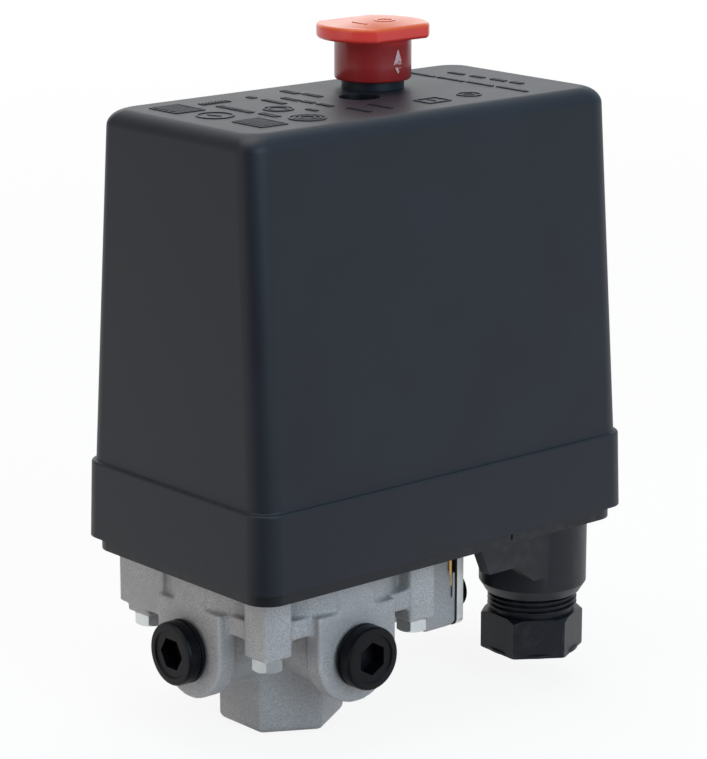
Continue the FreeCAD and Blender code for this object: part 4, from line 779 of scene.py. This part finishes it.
class SWITCH_OT_cover_marks(SwitchOperator, bpy.types.Operator):
    """Models the plain raised marks on top of the cover: bare outlines, rings, rows of fine ribs, and I and O signs"""

    bl_idname = "switch_kit.cover_marks"
    bl_label = "Cover marks"

    # All in millimetres.
    outlines = ((-18.6, -15.3, 4.6, 6.2), (-21.4, 15.6, 5.0, 6.0), (38.9, -17.7, 4.1, 3.5))
    rings = ((-20.3, 1.0, 5.1), (-1.1, -1.5, 4.2), (-1.1, -1.5, 2.9), (-4.5, -17.4, 5.1), (-4.5, -17.4, 3.8),
             (-4.5, -17.4, 2.4), (53.2, -16.6, 3.5))
    rows = (  # place across, where the row starts and ends, length of a rib
        (-10.2, 12.1, 3.8, 2.0), (-10.2, 2.6, -1.8, 2.0), (-9.1, -4.2, -10.9, 2.2), (5.3, 18.8, 16.0, 1.9),
        (5.4, 12.3, 3.5, 1.9), (19.0, 20.9, 14.6, 2.1), (20.2, 13.2, 5.9, 2.1), (11.4, 11.4, 5.0, 2.0),
        (12.0, 3.8, -0.6, 2.0), (12.2, -2.3, -7.4, 1.8), (4.4, -7.0, -11.0, 1.6), (22.0, -11.5, -20.0, 1.6),
        (13.8, -12.5, -21.0, 1.6), (67.0, 21.7, 12.0, 1.3), (67.4, 11.0, 0.5, 1.3), (67.9, -0.5, -11.0, 1.3),
        (68.3, -12.2, -23.4, 1.3), (76.0, 15.6, 10.0, 1.9), (76.2, 6.7, 1.7, 1.9), (76.6, -1.1, -6.2, 1.9),
        (77.0, -8.6, -12.3, 1.9),
    )
    patches = (  # first rib, way the row goes, number and pitch of its ribs, size of a rib
        ("patch_low", (-18.6, -10.4), (0, -1), 10, 1.05, (7.0, 0.5)),
        ("patch_high", (-21.4, 20.2), (0, -1), 9, 1.15, (7.6, 0.55)),
        ("row_across", (-12.0, 17.2), (1, 0), 9, 1.1, (0.45, 2.6)),
    )
    signs = (  # sign, place, size, turn in degrees
        ("sign_ring", "I", (-20.3, 1.0), 6, 20),
        ("sign_on", "I", (38.9, -17.7), 5, 0),
        ("sign_off", "O", (53.2, -16.6), 4.6, 0),
    )

    def execute(self, context):
        height = context.scene.switch_cover.mark_height
        line, root = 0.55 * MM, COVER_TOP - MARK_ROOT
        pieces = []
        for index, (x, y, wide, deep) in enumerate(in_mm(self.outlines)):
            plate = plate_with_corners(f"outline_{index}", (x, y), root, wide, deep, line, 3)
            pieces.append(leave_border(plate, line, height))
        for index, (x, y, radius) in enumerate(in_mm(self.rings)):
            pieces.append(leave_border(disc(f"ring_{index}", radius, (x, y, root), 48), line, height))
        for index, (x, start, end, length) in enumerate(in_mm(self.rows)):
            pitch = (0.92 + 0.09 * (index % 4)) * MM
            count = int((start - end) / pitch) + 1
            pieces.append(fine_ribs(f"row_{index}", (x, start), (0, -1), count, pitch, (length, 0.42 * MM), height))
            left = x - length / 2
            pieces.append(block(f"tie_{index}", (left + 0.1 * MM, end + 0.3 * MM, COVER_TOP - SIGN_ROOT),
                                (left + 0.5 * MM, start - 0.2 * MM, COVER_TOP + height * 0.8)))
        for name, start, way, count, pitch, rib in self.patches:
            pieces.append(fine_ribs(name, mm(*start), way, count, pitch * MM, mm(*rib), height))
        for name, sign, place, size, turn in self.signs:
            pieces.append(raised_sign(name, sign, mm(*place), size * MM, height, COVER_TOP, turn))
        piece = join_pieces(*pieces)
        piece.name = "cover_marks"
        soften(piece, 0.06 * MM, 1, 60)
        finish_piece(piece, "cover_group", "cover_plastic")
        return {"FINISHED"}


# ---- knob -------------------------------------------------------------------------------------------
class SWITCH_OT_knob(SwitchOperator, bpy.types.Operator):
    """Models the red push-pull knob with its flat-sided flange, cup, stem and raised arrow"""

    bl_idname = "switch_kit.knob"
    bl_label = "Knob"

    # Height and radius, in millimetres.
    cup_profile = ((171.7, 9.9), (171.8, 10.2), (172.05, 10.45), (172.4, 10.6), (176, 10.6), (182.6, 10.6),
                   (182.9, 10.75), (183.2, 11.2))
    stem_profile = ((158.3, 4.6), (158.7, 5.0), (163.55, 5.0), (163.55, 4.0), (164.75, 4.0), (164.75, 5.0), (181, 5.0))

    def execute(self, context):
        sizes = context.scene.switch_knob
        centre = (KNOB_X, KNOB_Y)
        piece = bar("knob_finished", sizes.facets, sizes.flange, KNOB_TOP - FLANGE_FOOT, (*centre, FLANGE_FOOT))
        for side in (-1, 1):
            select_where(piece)
            bpy.ops.mesh.bisect(plane_co=(KNOB_X, KNOB_Y + side * sizes.flat, 0), plane_no=(0, side, 0),
                                use_fill=True, clear_outer=True)
            object_mode()
        soften(piece, 1.15 * MM, 5, 40)
        wider = sizes.cup / CUP_RADIUS
        cup = lathe("cup", [(height, radius * wider) for height, radius in in_mm(self.cup_profile)], centre,
                    sizes.facets)
        combine(piece, "UNION", cup)
        combine(piece, "DIFFERENCE", bar("hollow", 72, 9.0 * MM, 9 * MM, (*centre, 171 * MM)))
        combine(piece, "UNION", lathe("stem", in_mm(self.stem_profile), centre, 48))
        shade(piece, 38)

        marks = [self.arrow(sizes.cup, *mm(176.6, 180.8, 1.5)), self.arrow(sizes.cup, *mm(175.8, 174.1, 1.0))]
        for name, sign, side in (("knob_sign_on", "I", -4.5 * MM), ("knob_sign_off", "O", 4.5 * MM)):
            marks.append(raised_sign(name, sign, (KNOB_X + side, KNOB_Y), 8 * MM, 0.25 * MM, KNOB_TOP))
        finish_piece(join_pieces(piece, *marks), "knob_group", "red_plastic", "knob")
        finish_solids("knob")
        return {"FINISHED"}

    def arrow(self, radius, base, tip, half):
        """A raised triangle wrapped on the cup's front, which points from its base to its tip."""
        clear_selection()
        bpy.ops.mesh.primitive_grid_add(x_subdivisions=6, y_subdivisions=4, size=2)
        piece = bpy.context.object
        piece.name = "arrow"
        root = radius - 0.1 * MM
        outwards = math.copysign(1, tip - base)
        for vertex in piece.data.vertices:
            up = (vertex.co.y + 1) / 2
            side = outwards * vertex.co.x * half * (1 - up * 0.97)
            turn = math.radians(-92) + side / radius
            vertex.co = (KNOB_X + root * math.cos(turn), KNOB_Y + root * math.sin(turn), base + (tip - base) * up)
        modify(piece, "SOLIDIFY", thickness=0.38 * MM, offset=1)
        face_out(piece)
        return piece


# ---- base and gland ---------------------------------------------------------------------------------
class SWITCH_OT_base(SwitchOperator, bpy.types.Operator):
    """Finishes the base with its lip, cable leg and web"""

    bl_idname = "switch_kit.base"
    bl_label = "Base"

    def execute(self, context):
        finish_solids("base")
        return {"FINISHED"}


class SWITCH_OT_gland(SwitchOperator, bpy.types.Operator):
    """Models the hollow hexagonal gland screw with its thread, and its washer and seal"""

    bl_idname = "switch_kit.gland"
    bl_label = "Cable gland"

    def execute(self, context):
        sizes = context.scene.switch_gland
        place = (LEG_X, LEG_Y)
        corner = sizes.flats / math.sqrt(3)
        core = sizes.thread - 0.85 * MM
        head = bar("gland_screw_finished", 6, corner, GLAND_HEAD_TOP - GLAND_FOOT, (*place, GLAND_FOOT), turned=-4.5)
        chamfer = [(GLAND_FOOT, corner - 0.25 * MM), (GLAND_FOOT + 0.4 * MM, corner + 0.1 * MM),
                   (GLAND_HEAD_TOP - 1.1 * MM, corner + 0.1 * MM), (GLAND_HEAD_TOP, corner - 1.3 * MM)]
        combine(head, "INTERSECT", lathe("chamfer", chamfer, place))
        rim = [(GLAND_FOOT + up, radius) for up, radius in in_mm(((0, 12.9), (0.2, 13.3), (0.9, 13.3), (1.2, 12.7)))]
        combine(head, "UNION", lathe("rim", rim, place))
        combine(head, "DIFFERENCE", bar("hole", 64, GLAND_BORE, 40 * MM, (*place, 0)))
        soften(head, 0.22 * MM, 2, 32)

        barrel = lathe("barrel", [(GLAND_HEAD_TOP - 0.5 * MM, core), (GLAND_TOP - 0.8 * MM, core),
                                  (GLAND_TOP, core - 0.7 * MM)], place)
        combine(barrel, "DIFFERENCE", bar("barrel_hole", 64, GLAND_BORE, 40 * MM, (*place, 0)))
        shade(barrel)
        thread = self.thread(sizes, core, place, GLAND_HEAD_TOP + 0.3 * MM, GLAND_TOP - 1.3 * MM)
        finish_piece(join_pieces(head, barrel, thread), "gland_nut", "black_plastic", "gland_screw")
        finish_solids("gland")
        return {"FINISHED"}

    def thread(self, sizes, core, place, start, end):
        """A closed ridge swept round the barrel."""
        clear_selection()
        bpy.ops.mesh.primitive_plane_add(size=2)
        ridge = bpy.context.object
        ridge.name = "thread"
        root, foot, crest = core - 0.1 * MM, sizes.pitch * 0.4, sizes.pitch * 0.12
        outline = {(-1, -1): (root, -foot), (1, -1): (sizes.thread, -crest), (1, 1): (sizes.thread, crest),
                   (-1, 1): (root, foot)}
        for vertex in ridge.data.vertices:
            out, up = outline[(round(vertex.co.x), round(vertex.co.y))]
            vertex.co = (out, 0, up + foot)
        select_where(ridge)
        bpy.ops.mesh.delete(type="ONLY_FACE")
        object_mode()
        turns = int((end - start - 2 * foot) / sizes.pitch)
        modify(ridge, "SCREW", angle=2 * math.pi, screw_offset=sizes.pitch, iterations=turns, steps=72,
               render_steps=72, use_merge_vertices=False)
        select_where(ridge, "edges", lambda edge: edge.is_boundary)
        bpy.ops.mesh.edge_face_add()
        object_mode()
        ridge.location = (*place, start)
        settle(ridge)
        face_out(ridge)
        shade(ridge, 25)
        return ridge


# ---- manifold ---------------------------------------------------------------------------------------
class SWITCH_OT_manifold(SwitchOperator, bpy.types.Operator):
    """Gives the manifold casting its soft cast edges"""

    bl_idname = "switch_kit.manifold"
    bl_label = "Manifold casting"

    def execute(self, context):
        sizes = context.scene.switch_casting
        piece = softened_copy("manifold", 0)
        modify(piece, "REMESH", mode="VOXEL", voxel_size=sizes.voxel, use_smooth_shade=True)
        modify(piece, "SMOOTH", factor=0.5, iterations=sizes.smoothing)
        finish_piece(piece, "switch_frame", "cast_alloy", "manifold")
        return {"FINISHED"}


class SWITCH_OT_bolts(SwitchOperator, bpy.types.Operator):
    """Models one bolt with a chamfered hexagonal head and copies it to the four corners"""

    bl_idname = "switch_kit.bolts"
    bl_label = "Manifold bolts"

    # Height and radius, in millimetres.
    crown = ((26, 3.9), (26.35, 4.35), (26.7, 4.75), (29.5, 4.8))
    dish = ((25.5, 2.6), (26.1, 2.6), (26.3, 2.1))
    shank = ((29.4, 2.45), (51.5, 2.45), (51.6, 2.2), (52.0, 2.45), (52.4, 2.2), (52.8, 2.45), (53.2, 2.2),
             (53.6, 2.45), (53.8, 2.45), (54.0, 2.1))

    def execute(self, context):
        head = bar("manifold_bolts_finished", 6, KEY_CORNER, 3.5 * MM, mm(0, 0, 26), turned=14)
        combine(head, "INTERSECT", lathe("crown", in_mm(self.crown), facets=48))
        combine(head, "DIFFERENCE", lathe("dish", in_mm(self.dish), facets=32))
        soften(head, 0.12 * MM, 2, 28)
        stem = lathe("shank", in_mm(self.shank), facets=40)
        shade(stem, 25)
        bolt = join_pieces(head, stem)
        places = [(BOLT_REACH * x, BOLT_REACH * y, 0) for x, y in ((1, -1), (-1, 1), (1, 1), (-1, -1))]
        copies = [copy_of(bolt, f"bolt_{index}", place) for index, place in enumerate(places[:3])]
        bolt.location = places[3]
        settle(bolt)
        finish_piece(join_pieces(bolt, *copies), "switch_frame", "zinc_steel", "manifold_bolts")
        return {"FINISHED"}


class SWITCH_OT_plugs(SwitchOperator, bpy.types.Operator):
    """Models one socket-head plug with its ring and copies it to the three side ports"""

    bl_idname = "switch_kit.plugs"
    bl_label = "Plugs"

    ports = (("plug_front", (0, -1, 0)), ("plug_left", (-1, 0, 0)), ("plug_back", (0, 1, 0)))
    # Height over the port's face and radius, in millimetres.
    head = ((-10, 5.6), (-9, 6.5), (0.9, 6.5), (0.95, 8.4), (1.1, 8.75), (1.85, 8.8), (2.0, 8.6), (2.05, 8.2),
            (2.35, 8.2), (2.4, 8.5), (2.6, 8.7), (3.0, 8.75), (5.2, 8.75), (5.7, 8.68), (6.05, 8.45), (6.2, 8.1),
            (6.2, 6.75), (6.05, 6.55), (5.75, 6.4))
    drill = ((0.2, 0.3), (1.4, 3.6))

    def execute(self, context):
        plug = lathe("plug", in_mm(self.head), facets=72)
        combine(plug, "DIFFERENCE", bar("socket", 6, KEY_CORNER, 6 * MM, mm(0, 0, 1.3)),
                lathe("drill", in_mm(self.drill), facets=32))
        soften(plug, 0.12 * MM, 2, 48)
        for node, axis in self.ports:
            piece = copy_of(plug, node + "_finished")
            self.into_port(piece, axis, PORT_FACE)
            finish_piece(piece, "switch_frame", "plug_black", node)
        bpy.data.objects.remove(plug)

        rings = []
        for node, axis in self.ports:
            clear_selection()
            bpy.ops.mesh.primitive_torus_add(major_radius=7.4 * MM, minor_radius=0.5 * MM, major_segments=64,
                                             minor_segments=14)
            ring = bpy.context.object
            self.into_port(ring, axis, PORT_FACE + 0.5 * MM)
            shade(ring, 60)
            rings.append(ring)
        piece = join_pieces(*rings)
        piece.name = "plug_seals_finished"
        finish_piece(piece, "switch_frame", "seal_rubber", "plug_seals")
        return {"FINISHED"}

    def into_port(self, piece, axis, out):
        """Turns a piece that stands along +Z to lie along a port's axis, and moves it out to its place."""
        piece.rotation_euler = Vector((0, 0, 1)).rotation_difference(Vector(axis)).to_euler()
        settle(piece)
        piece.location = (axis[0] * out, axis[1] * out, PORT_HEIGHT)
        settle(piece)


class SWITCH_OT_unloader(SwitchOperator, bpy.types.Operator):
    """Finishes the unloader's cover plate, gasket, screws, pin and tube fitting"""

    bl_idname = "switch_kit.unloader"
    bl_label = "Unloader valve"

    def execute(self, context):
        finish_solids("unloader")
        return {"FINISHED"}


# ---- mechanism --------------------------------------------------------------------------------------
class SWITCH_OT_mechanism(SwitchOperator, bpy.types.Operator):
    """Finishes the steel frame, lever, range spring and screws under the cover"""

    bl_idname = "switch_kit.mechanism"
    bl_label = "Mechanism"

    def execute(self, context):
        finish_solids("mechanism")
        self.range_spring()
        return {"FINISHED"}

    def range_spring(self):
        """The spring in two halves cut at its middle, a low one and a high one, each coated in spring steel."""
        low, high = (corner[2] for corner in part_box("range_spring"))
        middle = (low + high) / 2
        whole = softened_copy("range_spring", 0)
        halves = (
            ("range_spring_low", 1, ("lever", "switch_frame"), (low + SPRING_WIRE, middle)),
            ("range_spring_high", -1, ("switch_frame", "adjusting_plate"), (middle, high - SPRING_WIRE)),
        )
        for name, side, bodies, (start, end) in halves:
            half = copy_of(whole, name)
            select_where(half)
            bpy.ops.mesh.bisect(plane_co=(0, 0, middle), plane_no=(0, 0, side), use_fill=True, clear_outer=True)
            object_mode()
            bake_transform(half)
            coat(half, "spring_steel")
            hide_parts("range_spring")
        bpy.data.objects.remove(whole)


class SWITCH_OT_contacts(SwitchOperator, bpy.types.Operator):
    """Finishes the contact block, its terminals and the moving contacts"""

    bl_idname = "switch_kit.contacts"
    bl_label = "Contacts"

    def execute(self, context):
        finish_solids("contacts")
        return {"FINISHED"}


# ---- studio -----------------------------------------------------------------------------------------
def aim(thing, target):
    """Points a lamp or camera at a place."""
    direction = Vector(target) - thing.location
    thing.rotation_euler = direction.to_track_quat("-Z", "Y").to_euler()


def stand(name, data, place, target):
    """Puts a lamp or camera in the scene."""
    thing = bpy.data.objects.new(name, data)
    bpy.context.scene.collection.objects.link(thing)
    thing.location = place
    aim(thing, target)
    return thing


class SWITCH_OT_stage(SwitchOperator, bpy.types.Operator):
    """Sets up the pale floor, the soft lamps, the white surroundings and the camera"""

    bl_idname = "switch_kit.stage"
    bl_label = "Studio"

    middle = (HOUSING_X, 0, 0.09)
    lamps = (  # place, target, width and height, power, tint
        ("lamp_top", (0.0, 0.1, 1.0), middle, (0.9, 0.7), 5.0, (1, 1, 1)),
        ("lamp_front", (-0.08, -1.0, 0.5), middle, (0.7, 0.8), 7.2, (0.62, 0.81, 1.0)),
        ("lamp_left", (-1.05, 0.15, 0.4), middle, (0.6, 0.8), 2.0, (1.0, 0.95, 0.9)),
        ("lamp_back", (0.45, 0.85, 0.45), (HOUSING_X, 0, COVER_TOP), (0.9, 0.5), 1.0, (1, 1, 1)),
    )

    def execute(self, context):
        scene = context.scene
        self.floor()
        self.surroundings(scene)
        for name, place, target, size, power, tint in self.lamps:
            lamp = bpy.data.lights.new(name, "AREA")
            lamp.shape = "RECTANGLE"
            lamp.size, lamp.size_y = size
            lamp.energy = power
            lamp.color = tint
            stand(name, lamp, place, target)

        camera = bpy.data.cameras.new("photo_camera")
        camera.sensor_width = 36
        camera.lens = 146.3
        camera.clip_start = 0.01
        scene.camera = stand("photo_camera", camera, (-0.5117, -0.6209, 0.3011), (0.0276, 0.0015, 0.0907))
        scene.view_settings.view_transform = "Standard"
        return {"FINISHED"}

    def floor(self):
        """A pale floor that shows white but for the switch's shadow, with the dark side in its reflections too."""
        clear_selection()
        bpy.ops.mesh.primitive_plane_add(size=6, location=(0, 0, -0.2 * MM))
        floor = bpy.context.object
        floor.name = "studio_floor"
        settle(floor)
        finish = Finish("pale floor", Base_Color=(0.86, 0.86, 0.86), Roughness=0.8, Specular_IOR_Level=0.0)
        glossy = finish.ray("Glossy")
        away = finish.away(0, 0) + MM
        seen = (finish.ray("Camera") + glossy) * (away.step(0.3, 1.3) * 0.12 + 0.88)
        glow = finish.light("ShaderNodeEmission", (1, 1, 1), 1.0)
        lit = finish.mix_shaders(seen, finish.shader.outputs[0], glow)
        squarely = (finish.along("X") * PHOTO_SIDE[0] + finish.along("Y") * PHOTO_SIDE[1]) / away
        unlit = finish.light("ShaderNodeEmission", (0.9, 0.95, 1.0), 0.26)
        whole = finish.mix_shaders(glossy * squarely.step(*DARK_SIDE) * 0.9, lit, unlit)
        finish.feed(finish.output.inputs["Surface"], whole)
        floor.data.materials.append(finish.material)

    def surroundings(self, scene):
        """White walls for the camera; reflections also see a dark side, a duller left side and a cool front."""
        scene.world = bpy.data.worlds.new("white studio")
        sky = Nodes(scene.world)
        way = sky.node("ShaderNodeTexCoord").outputs["Generated"]

        def towards(direction, low, high):
            """0 away from a direction, and 1 towards it."""
            node = sky.node("ShaderNodeVectorMath", {"operation": "DOT_PRODUCT"}, {0: way, 1: direction})
            return Value(sky, node.outputs["Value"]).step(low, high)

        glossy = sky.ray("Glossy")
        walls = (1 - towards(PHOTO_SIDE, *DARK_SIDE) * 0.94) * (1 - towards((-0.8, 0.6, 0.0), 0.3, 0.9) * 0.65)
        dim, dark = (sky.light("ShaderNodeBackground", (0.95, 0.97, 1.0), strength) for strength in (0.45, 0.1))
        white = sky.light("ShaderNodeBackground", (1, 1, 1), 1.0)
        cool = sky.light("ShaderNodeBackground", (0.62, 0.82, 1.0), 1.0)
        bright = sky.mix_shaders(towards((0.6, -0.8, 0.0), -0.3, 0.4), white, cool)
        room = sky.mix_shaders(glossy * walls, sky.mix_shaders(glossy, dim, dark), bright)
        seen = sky.ray("Camera") + sky.ray("Transmission")
        sky.node("ShaderNodeOutputWorld", {}, {"Surface": sky.mix_shaders(seen, room, white)})


OPERATORS = (
    SWITCH_OT_cover,
    SWITCH_OT_cover_marks,
    SWITCH_OT_knob,
    SWITCH_OT_base,
    SWITCH_OT_gland,
    SWITCH_OT_manifold,
    SWITCH_OT_bolts,
    SWITCH_OT_plugs,
    SWITCH_OT_unloader,
    SWITCH_OT_mechanism,
    SWITCH_OT_contacts,
    SWITCH_OT_stage,
)


class SWITCH_PT_panel(bpy.types.Panel):
    """Lists the sizes, the colours and the pieces of the switch"""

    bl_idname = "SWITCH_PT_panel"
    bl_label = "Pressure Switch"
    bl_space_type = "VIEW_3D"
    bl_region_type = "UI"
    bl_category = "Pressure Switch"

    def draw(self, context):
        layout = self.layout
        for name in GROUPS:
            settings = getattr(context.scene, name)
            box = layout.box()
            for prop in settings.bl_rna.properties:
                if prop.identifier not in ("rna_type", "name"):
                    box.prop(settings, prop.identifier)
        for operator in OPERATORS:
            layout.operator(operator.bl_idname)


GROUPS = {
    "switch_cover": SwitchCoverSizes,
    "switch_knob": SwitchKnobSizes,
    "switch_gland": SwitchGlandSizes,
    "switch_casting": SwitchCastingSizes,
    "switch_colours": SwitchColours,
}


def register():
    for group in GROUPS.values():
        bpy.utils.register_class(group)
    for name, group in GROUPS.items():
        setattr(bpy.types.Scene, name, PointerProperty(type=group))
    for operator in OPERATORS:
        bpy.utils.register_class(operator)
    bpy.utils.register_class(SWITCH_PT_panel)


def unregister():
    bpy.utils.unregister_class(SWITCH_PT_panel)
    for operator in reversed(OPERATORS):
        bpy.utils.unregister_class(operator)
    for name, group in GROUPS.items():
        delattr(bpy.types.Scene, name)
        bpy.utils.unregister_class(group)


def main():
    register()
    finishes.update(build_finishes(bpy.context.scene.switch_colours))
    for operator in OPERATORS:
        group, name = operator.bl_idname.split(".")
        getattr(getattr(bpy.ops, group), name)()


if __name__ == "__main__":
    main()
